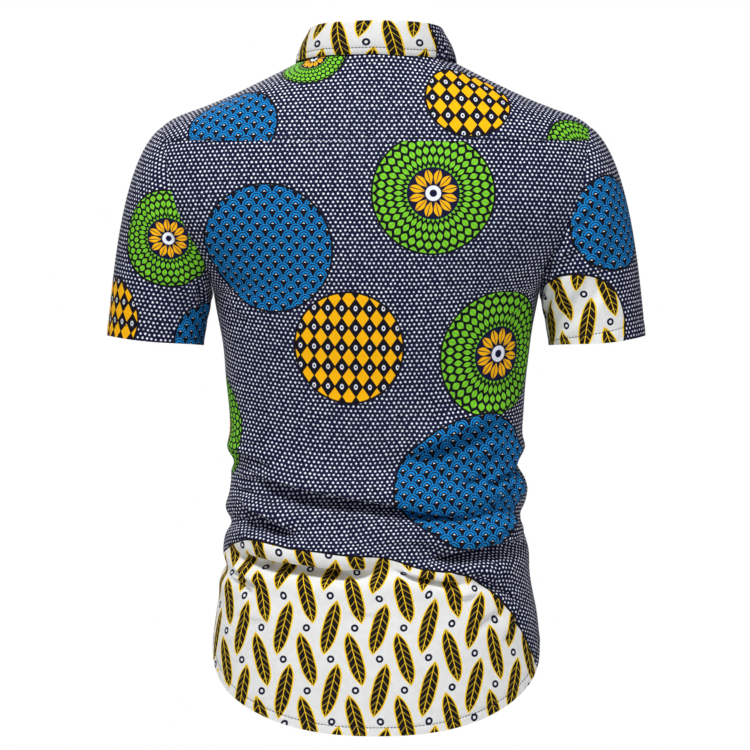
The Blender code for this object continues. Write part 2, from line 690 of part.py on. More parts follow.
def main():
    for old in list(bpy.data.objects):
        bpy.data.objects.remove(old)

    printed = plain_material("printed_cloth", (0.035, 0.045, 0.125), 0.85)
    pale = plain_material("pale_cloth", (0.83, 0.81, 0.76), 0.85)
    shell = plain_material("button_shell", (0.035, 0.035, 0.055), 0.32)

    yoke_grid, yoke_keep = yoke_points()
    sleeve = sleeve_points()
    back = Panel("back", back_points(), printed)
    yoke = Panel("yoke", yoke_grid, printed, keep=yoke_keep)
    left = Panel("front_left", front_points(-1, 0.0), printed, flip=True)
    right = Panel("front_right", front_points(1, LAP_STEP), printed)
    sleeve_right = Panel("sleeve_right", sleeve, printed, closed=True)
    sleeve_left = Panel("sleeve_left", sleeve * np.array([-1, 1, 1]), printed, closed=True, flip=True)
    cloth = cloth_tree([yoke, left, right, back])

    angle = neck_angles([180, 180 + LAP_ANGLE])
    stand_rows = np.array([stand_point(angle, np.full_like(angle, rise)) for rise in (0.0, 0.5, 1.0)])
    stand = Panel("collar_stand", stand_rows, pale)
    leaf = Panel("collar_leaf", leaf_points(cloth), pale, flip=True)

    panels = [back, yoke, left, right, sleeve_left, sleeve_right, stand, leaf]
    owners = [(panel, panel.normals[v]) for panel in panels for v in panel.inward]
    places = [panel.points[v] for panel in panels for v in panel.inward]
    tree = KDTree(len(places))
    for index, place in enumerate(places):
        tree.insert(Vector(place), index)
    tree.balance()
    for panel in panels:
        panel.build(tree, owners)

    stand_place = stand_point(np.array([-180.0]), np.array([0.5]))[0]
    add_button("button_1", stand_place, (0, 1, 0), shell)
    for number, level in enumerate(BUTTON_LEVELS, start=2):
        place, facing, _, _ = cloth.ray_cast(Vector((0.5, 300, level)), Vector((0, -1, 0)))
        add_button(f"button_{number}", place, facing if facing.y > 0 else -facing, shell)


main()
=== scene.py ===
import bpy
import numpy as np
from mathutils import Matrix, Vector
from mathutils.bvhtree import BVHTree


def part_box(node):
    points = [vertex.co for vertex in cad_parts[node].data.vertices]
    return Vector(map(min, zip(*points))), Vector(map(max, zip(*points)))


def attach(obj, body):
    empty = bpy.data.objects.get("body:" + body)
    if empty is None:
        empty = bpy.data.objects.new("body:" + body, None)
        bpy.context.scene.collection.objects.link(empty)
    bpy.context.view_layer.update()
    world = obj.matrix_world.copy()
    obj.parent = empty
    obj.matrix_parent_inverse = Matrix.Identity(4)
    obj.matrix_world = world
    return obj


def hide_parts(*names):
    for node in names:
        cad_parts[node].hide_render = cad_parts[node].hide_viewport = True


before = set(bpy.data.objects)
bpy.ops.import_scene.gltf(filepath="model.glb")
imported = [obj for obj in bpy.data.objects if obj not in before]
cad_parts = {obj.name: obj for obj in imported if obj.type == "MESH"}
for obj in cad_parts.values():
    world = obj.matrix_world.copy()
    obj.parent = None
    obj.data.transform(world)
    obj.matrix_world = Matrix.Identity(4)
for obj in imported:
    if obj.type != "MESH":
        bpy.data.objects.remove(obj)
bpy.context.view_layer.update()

mm = 0.001

# the cut, in mm: the same sizes as the solids, but for a slightly rounder hem
cut = dict(
    yokeSeam=-92.0, chest=-140.0, hemSide=-616.0, hemBackDrop=104.0, hemFrontDrop=84.0, hemRoundness=2.3,
    lapShare=0.079, lapStep=2.0, squareness=2.3, neckShare=0.33, frontNeckShare=0.40,
)
torsoColumns = ("level", "halfWidth", "back", "front")
torsoSections = (
    (-720, 178, 124, 118),
    (-640, 175, 123, 118),
    (-600, 171, 120, 116),
    (-557, 164, 114, 113),
    (-515, 158, 106, 110),
    (-473, 155, 99, 107),
    (-430, 153, 96, 106),
    (-388, 155, 97, 107),
    (-346, 158, 101, 110),
    (-303, 163, 107, 115),
    (-253, 172, 113, 118),
    (-200, 180, 116, 115),
    (-150, 190, 114, 98),
    (-120, 200, 110, 82),
    (-90, 210, 103, 63),
)
armhole = dict(middle=-165.0, halfHeight=88.0, back=72.0, front=60.0, yokeAngle=35.0)
armholeColumns = ("level", "outward")
armholeSections = ((-253, 172), (-221, 181), (-193, 197), (-157, 213), (-125, 220), (-95, 224), (-77, 225))
neck = dict(
    halfWidth=72.0, halfDepth=60.0, middleY=-8.0, backLevel=4.0, evenDrop=9.0, frontDrop=68.0,
    yokeAngle=118.0,
)
stand = dict(seam=0.4, back=25.0, front=21.0, lean=1.5, sideLean=3.0, lapStep=1.0)
leafColumns = ("angle", "outset", "lift", "swing")
leafSections = (
    (0, 2.4, 2.0, 0),
    (45, 5.5, 2.8, 0),
    (75, 10.0, 3.0, 0),
    (100, 13.5, 2.6, 2),
    (125, 20.0, 2.6, 6),
    (150, 25.0, 2.8, 13),
    (176, 30.0, 3.0, 20),
)
leafTurn = ((-1.2, 0.5), (-0.9, 2.8), (1.2, 4.0), (3.6, 3.0), (4.9, 0.4))
sleeve = dict(
    headMiddle=(205.0, 0.0, -165.0), hemMiddle=(233.5, 5.0, -303.5), hemHalfWidth=51.5, hemHalfDepth=60.0,
    hemTilt=6.0, topSlope=34.0, underSlope=78.0, length=150.0, girth=356.0,
    bowTurn=75.0, bowReach=50.0, bowLeft=2.6, bowRight=4.2,
)

# the folds that the solids have; girth is 0 at the centre back, 1 at the right side, 2 at the centre front
foldColumns = ("girth", "level", "reach", "slope", "sag", "width", "depth")
bodyFolds = (
    (-0.28, -466, 0.62, -26, 4, 13, 5.5),
    (-0.62, -494, 0.26, -64, 0, 11, 5.0),
    (-0.92, -432, 0.42, -14, 0, 12, 5.5),
    (-0.98, -494, 0.30, -10, 0, 11, 5.0),
    (-0.42, -537, 0.46, -22, 0, 14, 7.5),
    (-0.96, -541, 0.20, -50, 0, 11, 4.5),
    (0.45, -526, 0.62, 34, 0, 14, 7.0),
    (0.42, -556, 0.30, -24, 0, 10, 5.0),
    (0.44, -408, 0.34, 82, 0, 12, 5.5),
    (0.98, -430, 0.34, 16, 0, 11, 5.5),
    (0.62, -478, 0.46, 14, 0, 12, 5.0),
    (1.00, -489, 0.28, -10, 0, 15, 8.5),
    (0.20, -512, 0.40, 4, 6, 13, 2.5),
    (1.34, -446, 0.36, -22, 0, 12, 5.0),
    (1.48, -506, 0.42, 18, 0, 13, 5.5),
    (-1.34, -458, 0.36, 20, 0, 12, 5.0),
    (-1.50, -520, 0.40, -16, 0, 13, 5.5),
    (1.82, -478, 0.30, 6, 0, 13, 3.0),
    (-1.80, -484, 0.30, -6, 0, 13, 3.0),
)
sleeveFoldColumns = ("turn", "down", "reach", "slope", "width", "depth")
sleeveFolds = (
    (128, 0.34, 46, 0.16, 0.10, 3.5),
    (104, 0.62, 50, 0.10, 0.12, 3.0),
    (-126, 0.36, 46, 0.14, 0.10, 3.5),
    (-98, 0.66, 44, 0.08, 0.12, 2.5),
)

# creases on top of them: the path runs left to right under the fold's lip, in mm across and level
creaseColumns = ("path", "width", "depth", "hang")
backCreases = (
    (((-149, -429), (-132, -441), (-100, -450), (-66, -459), (-28, -466), (8, -472), (43, -480),
      (78, -484), (108, -480), (130, -464)), 8.5, 8.0, 9.5),
    (((-146, -469), (-125, -483), (-104, -496), (-78, -512)), 7.5, 6.8, 5.5),
    (((-156, -524), (-111, -531), (-66, -537), (-29, -541), (12, -544)), 8.5, 8.2, 9.5),
    (((48, -536), (76, -524), (104, -518), (128, -513), (160, -515)), 8.5, 9.0, 10.5),
    (((12, -542), (43, -550), (67, -554), (98, -561)), 7.0, 6.0, 6.5),
    (((100, -545), (119, -558), (131, -561)), 4.5, 3.2, 2.6),
    (((126, -560), (138, -568), (154, -582)), 4.0, 3.2, 2.0),
    (((-154, -542), (-142, -550), (-118, -567)), 6.0, 3.8, 2.6),
    (((-150, -446), (-126, -449), (-98, -452)), 4.5, 2.2, 1.6),
    (((32, -432), (57, -416), (80, -402), (104, -390), (128, -381)), 6.5, 6.0, 4.4),
    (((122, -412), (131, -392), (137, -368)), 4.0, 3.0, 0.8),
    (((86, -453), (106, -446), (121, -436)), 5.0, 3.2, 2.4),
    (((112, -456), (133, -444), (154, -430)), 6.5, 5.6, 4.2),
    (((64, -486), (92, -490), (118, -482), (138, -466)), 6.0, 3.6, 3.0),
    (((-30, -516), (24, -518), (78, -517), (114, -512)), 7.0, 1.6, 1.4),
    (((100, -612), (112, -598), (138, -584)), 6.0, 2.2, 0.6),
    (((132, -624), (146, -600), (154, -578)), 5.0, 2.4, 0.6),
    (((-150, -505), (-132, -512), (-112, -524)), 4.5, 1.6, 1.0),
    (((-152, -590), (-132, -598), (-104, -600)), 7.0, 1.0, 0.4),
    (((-152, -404), (-136, -412), (-112, -414)), 6.0, 1.6, 0.8),
    (((128, -352), (142, -344), (154, -330)), 6.0, 1.4, 0.4),
    (((-158, -262), (-146, -276), (-128, -286)), 7.0, 1.6, 0.6),
    (((126, -288), (146, -276), (160, -260)), 7.0, 1.6, 0.6),
    (((-166, -226), (-146, -238), (-118, -244)), 8.0, 1.3, 0.4),
    (((116, -246), (146, -236), (168, -224)), 8.0, 1.3, 0.4),
    (((-60, -486), (-24, -492), (10, -496)), 6.0, 1.8, 1.4),
    (((-152, -418), (-132, -424), (-106, -436)), 4.0, 2.4, 1.8),
    (((-150, -458), (-128, -463), (-98, -476)), 4.0, 2.2, 1.6),
    (((-152, -486), (-134, -494), (-116, -508)), 3.5, 2.0, 1.2),
    (((-156, -552), (-140, -560), (-128, -572)), 4.0, 2.2, 1.2),
    (((96, -430), (116, -424), (140, -408)), 4.0, 2.2, 1.4),
    (((118, -470), (134, -462), (150, -446)), 4.0, 2.4, 1.6),
    (((120, -502), (138, -498), (156, -488)), 4.0, 2.0, 1.2),
    (((76, -572), (92, -575), (108, -570)), 4.0, 1.8, 1.0),
    (((-40, -590), (-10, -594), (28, -592)), 9.0, 0.9, 0.3),
)
frontCreases = (
    (((66, -432), (98, -442), (130, -448)), 5.5, 2.4, 2.0),
    (((72, -503), (104, -512), (142, -518)), 6.0, 2.8, 2.6),
    (((-136, -450), (-100, -456), (-60, -462)), 5.5, 2.4, 2.0),
    (((-146, -512), (-110, -520), (-70, -526)), 6.0, 2.8, 2.6),
    (((30, -474), (52, -481), (92, -479)), 5.0, 1.6, 1.2),
    (((-96, -486), (-60, -490), (-34, -484)), 5.0, 1.6, 1.2),
    (((96, -396), (118, -388), (140, -372)), 5.0, 1.8, 0.8),
    (((-140, -384), (-118, -397), (-92, -404)), 5.0, 1.8, 0.8),
    (((60, -560), (96, -552), (134, -556)), 7.0, 1.6, 1.0),
    (((-128, -566), (-92, -560), (-52, -566)), 7.0, 1.6, 1.0),
    (((104, -252), (126, -262), (140, -280)), 6.0, 1.4, 0.6),
    (((-140, -276), (-124, -262), (-100, -254)), 6.0, 1.4, 0.6),
)
# way is 1 for the right sleeve, -1 for the left one and 0 for both
sleeveCreaseColumns = ("way", "turn", "down", "reach", "slope", "width", "depth")
sleeveCreases = (
    (1, 88, 0.16, 30, -0.15, 0.045, 2.6),
    (1, 114, 0.22, 36, -0.20, 0.050, 2.4),
    (1, 142, 0.12, 22, -0.10, 0.040, 1.8),
    (1, 128, 0.50, 34, 0.12, 0.060, 1.7),
    (1, 74, 0.56, 30, 0.20, 0.070, 1.3),
    (-1, 84, 0.16, 18, 0.12, 0.050, 2.4),
    (-1, 106, 0.12, 14, 0.10, 0.040, 2.0),
    (-1, 132, 0.30, 30, 0.22, 0.050, 2.4),
    (-1, 116, 0.52, 36, 0.16, 0.060, 1.8),
    (-1, 68, 0.44, 26, 0.26, 0.070, 1.3),
    (0, 118, 0.76, 36, 0.10, 0.060, 1.2),
    (0, -148, 0.24, 30, 0.20, 0.050, 2.3),
    (0, -112, 0.46, 34, 0.16, 0.060, 1.8),
    (0, -84, 0.17, 26, -0.14, 0.050, 2.1),
    (0, -68, 0.68, 36, 0.12, 0.070, 1.3),
)
shellWall = 0.65  # one layer of cloth
quarterGirth = 240.0  # a quarter of the girth, for measuring along the cloth
bodyHem = dict(turn=9.0, press=0.5, ripple=0.35, fine=0.25, finePitch=3.3, middle=5.0, reach=4.2)
sleeveHem = dict(turn=12.0, press=0.45, ripple=0.28, fine=0.20, finePitch=3.1, middle=7.0, reach=4.5)


def smoothstep(t):
    t = np.clip(t, 0.0, 1.0)
    return t * t * (3 - 2 * t)


def bell(x, middle, width):
    # 1 at the middle, falling off on both sides
    return np.exp(-(((x - middle) / width) ** 2))


def endFade(along):
    # fades a fold out towards both its ends
    return np.exp(-1.2 * along**4)


def unit(v):
    return v / np.maximum(np.linalg.norm(v, axis=-1, keepdims=True), 1e-12)


def stack(*parts):
    return np.stack(np.broadcast_arrays(*parts), axis=-1)


def between(a, b, t):
    return a * (1 - t[..., None]) + b * t[..., None]


def sideOf(share):
    return np.where(share < 0, -1.0, 1.0)


def lookUp(table, columns, name, x):
    # a smooth value of the named column where the first column is x
    rows = np.array(sorted(table), float)
    xs, ys = rows[:, 0], rows[:, columns.index(name)]
    slopes = np.gradient(ys, xs)
    x = np.clip(x, xs[0], xs[-1])
    i = np.clip(np.searchsorted(xs, x) - 1, 0, len(xs) - 2)
    step = xs[i + 1] - xs[i]
    t = (x - xs[i]) / step
    bend = step * (slopes[i] * t * (1 - t) ** 2 + slopes[i + 1] * t * t * (t - 1))
    return ys[i] + (ys[i + 1] - ys[i]) * smoothstep(t) + bend


def bezier(start, leave, arrive, end, share):
    reach = np.linalg.norm(end - start, axis=-1, keepdims=True) * 0.40
    s = share[..., None]
    low = (1 - s) ** 3 * start + 3 * s * (1 - s) ** 2 * (start + leave * reach)
    return low + 3 * s * s * (1 - s) * (end - arrive * reach) + s**3 * end


def runs(points, axis=0):
    # distance along the cloth from the first row or column
    steps = np.diff(points, axis=axis, prepend=np.take(points, [0], axis))
    return np.cumsum(np.linalg.norm(steps, axis=-1), axis=axis)


# the body


def armholePoint(turn):
    # turn is 0 on the shoulder, 90 behind and -90 in front
    w = np.radians(turn)
    level = armhole["middle"] + armhole["halfHeight"] * np.cos(w)
    depth = np.where(np.sin(w) > 0, armhole["back"], armhole["front"])
    return stack(lookUp(armholeSections, armholeColumns, "outward", level), -depth * np.sin(w), level)


def armholeTurn(level):
    return np.degrees(np.arccos(np.clip((level - armhole["middle"]) / armhole["halfHeight"], -1, 1)))


def torso(name, level):
    return lookUp(torsoSections, torsoColumns, name, level)


armpit = armhole["middle"] - armhole["halfHeight"]
arcSteps = 120
arcRise = 2.0
arcLevels = np.arange(-730, -84, arcRise)


def sectionArc(level, side):
    # half of a level section from the centre to the side: x, y and its length
    depth = float(torso(side, level))
    edgeX = float(torso("halfWidth", level))
    edgeY = 0.0
    if level > armpit:
        seam = armholePoint(armholeTurn(level) * (1 if side == "back" else -1))
        edgeX = seam[0]
        edgeY = abs(seam[1])
    power = 2 / cut["squareness"]
    last = np.arccos(min(1.0, (edgeY / depth) ** (1 / power)))
    angle = np.linspace(0, last, 2 * arcSteps + 1)
    x = edgeX * (np.sin(angle) / np.sin(last)) ** power
    y = depth * np.cos(angle) ** power
    run = runs(np.stack([x, y], -1))
    even = np.linspace(0, run[-1], arcSteps + 1)
    return np.interp(even, run, x), np.interp(even, run, y), np.full(arcSteps + 1, run[-1])


arcs = {side: np.array([sectionArc(level, side) for level in arcLevels]) for side in ("back", "front")}


def arcPick(side, share, level, picks):
    # the picked values of the section at that level, at a share of the way to its side
    up = np.clip((level - arcLevels[0]) / arcRise, 0, len(arcLevels) - 1.001)
    across, up = np.broadcast_arrays(np.clip(np.abs(share), 0, 1) * arcSteps, up)
    j = np.minimum(across.astype(int), arcSteps - 1)
    i = up.astype(int)
    s = across - j
    t = up - i
    found = []
    for k in picks:
        arc = arcs[side][:, k]
        below = (1 - s) * arc[i, j] + s * arc[i, j + 1]
        above = (1 - s) * arc[i + 1, j] + s * arc[i + 1, j + 1]
        found.append((1 - t) * below + t * above)
    return found


def smoothBody(side, share, level):
    x, y = arcPick(side, share, level, (0, 1))
    return stack(sideOf(share) * x, (-1 if side == "back" else 1) * y, level)


def arcLength(side, share, level):
    return arcPick(side, share, level, (2,))[0]


def bodyNormal(side, share, level):
    nudge = dict(share=0.012, level=3.0)
    over = np.maximum(np.abs(share) + nudge["share"] - 1, 0) * sideOf(share)
    inner = share - over
    across = smoothBody(side, inner + nudge["share"], level) - smoothBody(side, inner - nudge["share"], level)
    up = smoothBody(side, share, level + nudge["level"]) - smoothBody(side, share, level - nudge["level"])
    return unit(np.cross(across, up) if side == "back" else np.cross(up, across))


def foldRise(girth, level):
    rise = np.zeros(np.broadcast(girth, level).shape)
    for row in bodyFolds:
        fold = dict(zip(foldColumns, row))
        away = (girth - fold["girth"] + 2) % 4 - 2
        along = away / fold["reach"]
        line = fold["level"] + fold["slope"] * away - fold["sag"] * (1 - along**2)
        t = (level - line) / fold["width"]
        roll = 0.75 * bell(t, 1.15, 1) + 0.35 * bell(t, -1.5, 1) - bell(t, 0, 0.8**0.5)
        rise += fold["depth"] * roll * endFade(along)
    return rise


def girthAt(side, x, level):
    # girth of the place that is seen at x across and at that level
    row = int(round((level - arcLevels[0]) / arcRise))
    way = 1 if x > 0 else -1
    share = np.interp(abs(x), arcs[side][row, 0], np.linspace(0, 1, arcSteps + 1))
    return way * (share if side == "back" else 2 - share)


def smoothPath(points, count=28):
    points = np.array(points, float)
    t = np.linspace(0, len(points) - 1, count)
    ends = np.vstack([2 * points[0] - points[1], points, 2 * points[-1] - points[-2]])
    i = np.minimum(t.astype(int), len(points) - 2)
    f = (t - i)[:, None]
    a, b, c, d = ends[i], ends[i + 1], ends[i + 2], ends[i + 3]
    return 0.5 * (2 * b + (c - a) * f + (2 * a - 5 * b + 4 * c - d) * f**2 + (3 * b - a - 3 * c + d) * f**3)


laidCreases = []
for side, rows in (("back", backCreases), ("front", frontCreases)):
    for row in rows:
        crease = dict(zip(creaseColumns, row))
        crease["path"] = smoothPath([(girthAt(side, x, z) * quarterGirth, z) for x, z in crease["path"]])
        laidCreases.append(crease)


def creaseMove(girth, level):
    # rise off the body and drop along it, from the listed creases
    shape = np.broadcast(girth, level).shape
    g = np.broadcast_to(girth, shape).ravel() * quarterGirth
    z = np.broadcast_to(level, shape).ravel()
    rise = np.zeros(g.shape)
    drop = np.zeros(g.shape)
    around = 4 * quarterGirth
    for crease in laidCreases:
        path = crease["path"]
        middle = path.mean(0)
        gx = (g - middle[0] + around / 2) % around - around / 2 + middle[0]
        reach = np.abs(path - middle).max(0) + 6 * crease["width"]
        near = np.nonzero((np.abs(gx - middle[0]) < reach[0]) & (np.abs(z - middle[1]) < reach[1]))[0]
        if not len(near):
            continue
        p = np.stack([gx[near], z[near]], -1)
        start = path[:-1]
        run = path[1:] - start
        t = np.clip(((p[:, None] - start) * run).sum(-1) / (run**2).sum(-1), 0, 1)
        off = p[:, None] - (start + run * t[..., None])
        best = (off**2).sum(-1).argmin(1)
        pick = np.arange(len(p))
        way = unit(run[best])
        off = off[pick, best]
        above = sideOf(off[:, 1] * way[:, 0] - off[:, 0] * way[:, 1])
        along = (best + t[pick, best]) / len(run)
        fade = smoothstep(along / 0.3) * smoothstep((1 - along) / 0.3)
        q = np.linalg.norm(off, axis=-1) * above / crease["width"]
        lip = smoothstep((q + 0.25) / 0.85) * bell(np.maximum(q, 0.6), 0.6, 2.0)
        trough = smoothstep((0.55 - q) / 0.85) * bell(np.minimum(q, 0), 0, 1.7)
        hang = smoothstep((q + 0.3) / 0.8) * bell(np.maximum(q, 0.5), 0.5, 1.5)
        rise[near] += crease["depth"] * fade * (0.9 * lip - trough)
        drop[near] += crease["hang"] * fade * hang
    return rise.reshape(shape), drop.reshape(shape)


def looseness(girth, level):
    # long shallow waves of cloth that hangs, none on the blades, the chest and the placket
    g = girth * quarterGirth
    fromPlacket = (2 - np.abs(girth)) * quarterGirth
    low = smoothstep((-190 - level) / 160) * smoothstep((fromPlacket - 16) / 34)
    waves = 0.9 * np.sin(g / 34 + 1.3 * np.sin(level / 70)) * smoothstep((-545 - level) / 60)
    waves = waves + 0.45 * np.sin(g / 41 + level / 23 + 0.8) * np.sin(level / 31 - g / 90)
    waves = waves + 0.3 * np.sin(level / 11 + 1.7 * np.sin(g / 47))
    return waves * low


def hemLevel(side, share):
    halfWidth = float(torso("halfWidth", cut["hemSide"]))
    across = np.abs(smoothBody(side, share, cut["hemSide"])[..., 0]) / halfWidth
    drop = cut["hemBackDrop"] if side == "back" else cut["hemFrontDrop"]
    n = cut["hemRoundness"]
    return cut["hemSide"] - drop * (1 - np.clip(across, 0, 1) ** n) ** (1 / n)


def hemSlope(side, share):
    nudge = 0.004
    steepest = 2.5
    length = arcLength(side, share, np.full_like(share, -640.0))
    inner = np.clip(share, -1 + nudge, 1 - nudge)
    rise = hemLevel(side, inner + nudge) - hemLevel(side, inner - nudge)
    return np.minimum(np.abs(rise / (2 * nudge * length)), steepest)


def hemRise(hem, above, run):
    # a turned hem: its stitch line pressed in, and small puckers under it
    pucker = hem["ripple"] * np.sin(run / 1.9 + 2 * np.sin(run / 13))
    pucker = pucker + hem["fine"] * np.sin(run / hem["finePitch"])
    return pucker * bell(above, hem["middle"], hem["reach"]) - hem["press"] * bell(above, hem["turn"], 1.6)


def hemWall(hem, above):
    # two layers of cloth up to the turn
    return shellWall * (1 + smoothstep(hem["turn"] + 1 - above))


def bodyCloth(side, share, level):
    # the worn cloth with its folds, creases and hem
    share, level = np.broadcast_arrays(share, level)
    girth = share if side == "back" else sideOf(share) * (2 - np.abs(share))
    rise, drop = creaseMove(girth, level)
    above = (level - hemLevel(side, share)) / np.sqrt(1 + hemSlope(side, share) ** 2)
    rise = rise + foldRise(girth, level) + looseness(girth, level)
    rise = rise + hemRise(bodyHem, above, girth * quarterGirth)
    place = smoothBody(side, share, level) - stack(0, 0, drop)
    return place + bodyNormal(side, share, level) * rise[..., None]


# shoulders and sleeves


def neckPoint(angle):
    a = np.radians(angle)
    front = (1 - np.cos(a)) / 2
    level = neck["backLevel"] - neck["evenDrop"] * front - neck["frontDrop"] * front**4
    return stack(neck["halfWidth"] * np.sin(a), neck["middleY"] - neck["halfDepth"] * np.cos(a), level)


def neckOutward(angle):
    a = np.radians(angle)
    return stack(np.sin(a), -np.cos(a), 0)


def ridgePoint(t):
    bulge = 3.2 * np.sin(np.pi * t**6) - 2.0 * np.sin(np.pi * t)
    return between(neckPoint(90.0), armholePoint(0.0), t) + stack(0, 0, bulge)


def frontSeamPoint(t):
    bulge = 2.0 * np.sin(np.pi * t)
    seam = between(neckPoint(neck["yokeAngle"]), armholePoint(-armhole["yokeAngle"]), t)
    return seam + stack(0, bulge, bulge)


def raised(elevation, way):
    e = np.radians(elevation)
    return stack(0, way * np.cos(e), np.sin(e))


def mirrored(panel, share, rise):
    return panel(np.abs(share), np.full_like(share, rise)) * stack(sideOf(share), 1, 1)


def upperPanel(side, foot, neckShare, neckAngles, armTurn, seam, lean):
    # the right half of a panel from the body up to the neck and a shoulder seam, fitted to the armhole
    way = 1 if side == "back" else -1
    lowTurn = armholeTurn(foot)
    first, last = neckAngles

    def strip(share, rise):
        inNeck = np.clip(share / neckShare, 0, 1)
        along = np.clip((share - neckShare) / (1 - neckShare), 0, 1)
        onNeck = neckPoint(first + (last - first) * inNeck)
        top = np.where((share < neckShare)[..., None], onNeck, seam(along))
        low = smoothBody(side, share, foot)
        leave = unit(low - smoothBody(side, share, foot - 6))
        return bezier(low, leave, raised(lean(inNeck), way), top, rise)

    def panel(share, rise):
        wanted = armholePoint(way * (lowTurn + (armTurn - lowTurn) * rise))
        nearArm = smoothstep((share - 0.55) / 0.45)[..., None]
        return strip(share, rise) + (wanted - strip(np.ones_like(share), rise)) * nearArm

    return panel


yokeBack = upperPanel("back", cut["yokeSeam"], cut["neckShare"], (0, 90), 0, ridgePoint,
                      lambda inNeck: 68 * np.cos(np.radians(90 * inNeck)))
frontTop = upperPanel("front", cut["chest"], cut["frontNeckShare"], (180, neck["yokeAngle"]),
                      armhole["yokeAngle"], frontSeamPoint, lambda inNeck: 57 - 15 * inNeck)


def yokeFront(share, fall):
    def strip(t):
        return bezier(ridgePoint(t), raised(0, 1), raised(-42, 1), frontSeamPoint(t), fall)

    along = np.clip((share - cut["neckShare"]) / (1 - cut["neckShare"]), 0, 1)
    outer = armholePoint(-armhole["yokeAngle"] * fall) - strip(np.ones_like(fall))
    inner = neckPoint(90 + (neck["yokeAngle"] - 90) * fall) - strip(np.zeros_like(fall))
    nearArm = smoothstep((along - 0.4) / 0.6)[..., None]
    nearNeck = smoothstep(1 - along / 0.4)[..., None]
    return strip(along) + outer * nearArm + inner * nearNeck


def sleevePoint(turn, down):
    w = np.radians(turn)
    tilt = np.radians(sleeve["hemTilt"])
    across = stack(np.cos(tilt), 0, np.sin(tilt)) * (sleeve["hemHalfWidth"] * np.cos(w))[..., None]
    hem = np.array(sleeve["hemMiddle"]) + across - stack(0, sleeve["hemHalfDepth"] * np.sin(w), 0)
    topShare = (1 + np.cos(w)) / 2
    slope = np.radians(sleeve["underSlope"] + (sleeve["topSlope"] - sleeve["underSlope"]) * topShare)
    leave = stack(np.cos(slope), -0.16 * np.sin(w), -np.sin(slope)) * (40 + 120 * topShare)[..., None]
    arrive = stack(np.sin(tilt), 0, -np.cos(tilt)) * (50 + 130 * topShare)[..., None]
    t = down[..., None]
    p = (2 * t**3 - 3 * t**2 + 1) * armholePoint(turn) + (t**3 - 2 * t**2 + t) * leave
    p = p + (3 * t**2 - 2 * t**3) * hem + (t**3 - t**2) * arrive
    middle = between(np.array(sleeve["headMiddle"]), np.array(sleeve["hemMiddle"]), down)
    return p, unit((p - middle) * stack(1, 1, 0.25))


def turnFrom(turn, middle):
    return (turn - middle + 180) % 360 - 180


def sleeveRise(table, names, turn, down):
    rise = np.zeros(np.broadcast(turn, down).shape)
    for row in table:
        fold = dict(zip(names, row))
        along = turnFrom(turn, fold["turn"]) / fold["reach"]
        t = (down - fold["down"] - fold["slope"] * along) / fold["width"]
        roll = 0.7 * bell(t, -1.1, 1) + 0.4 * bell(t, 1.4, 1) - bell(t, 0, 1)
        rise += fold["depth"] * roll * endFade(along)
    return rise * smoothstep(down / 0.12)


def sleeveCloth(turn, down, way):
    p, out = sleevePoint(turn, down)
    own = [row[1:] for row in sleeveCreases if row[0] in (0, way)]
    rise = sleeveRise(sleeveFolds, sleeveFoldColumns, turn, down)
    rise = rise + sleeveRise(own, sleeveCreaseColumns[1:], turn, down)
    rise = rise + hemRise(sleeveHem, (1 - down) * sleeve["length"], turn / 360 * sleeve["girth"])
    bow = sleeve["bowRight"] if way > 0 else sleeve["bowLeft"]
    bow = bow * down**3 * bell(turnFrom(turn, sleeve["bowTurn"]), 0, sleeve["bowReach"])
    return p - stack(0, 0, bow) + out * rise[..., None]


# cloth shells


def gridNormals(points, closed=False):
    across = np.gradient(points, axis=1)
    if closed:
        across = np.roll(points, -1, axis=1) - np.roll(points, 1, axis=1)
    return unit(np.cross(across, np.gradient(points, axis=0)))


def clothShell(name, points, uv, material, keep=None, closed=False, flip=False, wall=shellWall, normals=None):
    # a thin sheet of cloth: outer face, inner face and raw edges, with the cut's own flat map
    rows, count = points.shape[:2]
    if normals is None:
        normals = gridNormals(points, closed) * (-1 if flip else 1)
    inner = points - normals * np.asarray(wall)[..., None]
    first = np.arange(count if closed else count - 1)
    i = np.repeat(np.arange(rows - 1), len(first))
    j = np.tile(first, rows - 1)
    kept = np.ones(len(i), bool) if keep is None else keep[:, : len(first)].ravel()
    i, j = i[kept], j[kept]
    k = (j + 1) % count
    quads = np.stack([i * count + j, i * count + k, (i + 1) * count + k, (i + 1) * count + j], -1)
    quadUv = np.stack([uv[i, j], uv[i, j + 1], uv[i + 1, j + 1], uv[i + 1, j]], 1)
    if flip:
        quads, quadUv = quads[:, ::-1], quadUv[:, ::-1]
    total = rows * count
    sides = np.stack([quads, np.roll(quads, -1, axis=1)], -1).reshape(-1, 2).astype(np.int64)
    sideUv = np.stack([quadUv, np.roll(quadUv, -1, axis=1)], 2).reshape(-1, 2, 2)
    free = ~np.isin(sides[:, 0] * total + sides[:, 1], sides[:, 1] * total + sides[:, 0])
    start, end = sides[free].T
    rim = np.stack([end, start, start + total, end + total], -1)
    rimUv = sideUv[free][:, [1, 0, 0, 1]]
    faces = np.concatenate([quads, quads[:, ::-1] + total, rim])
    loops = np.concatenate([quadUv, quadUv[:, ::-1], rimUv]).reshape(-1, 2)
    everyPoint = np.concatenate([points.reshape(-1, 3), inner.reshape(-1, 3)])
    used, place = np.unique(faces, return_inverse=True)
    return addMesh(name, everyPoint[used], place.reshape(-1, 4), material, loops)


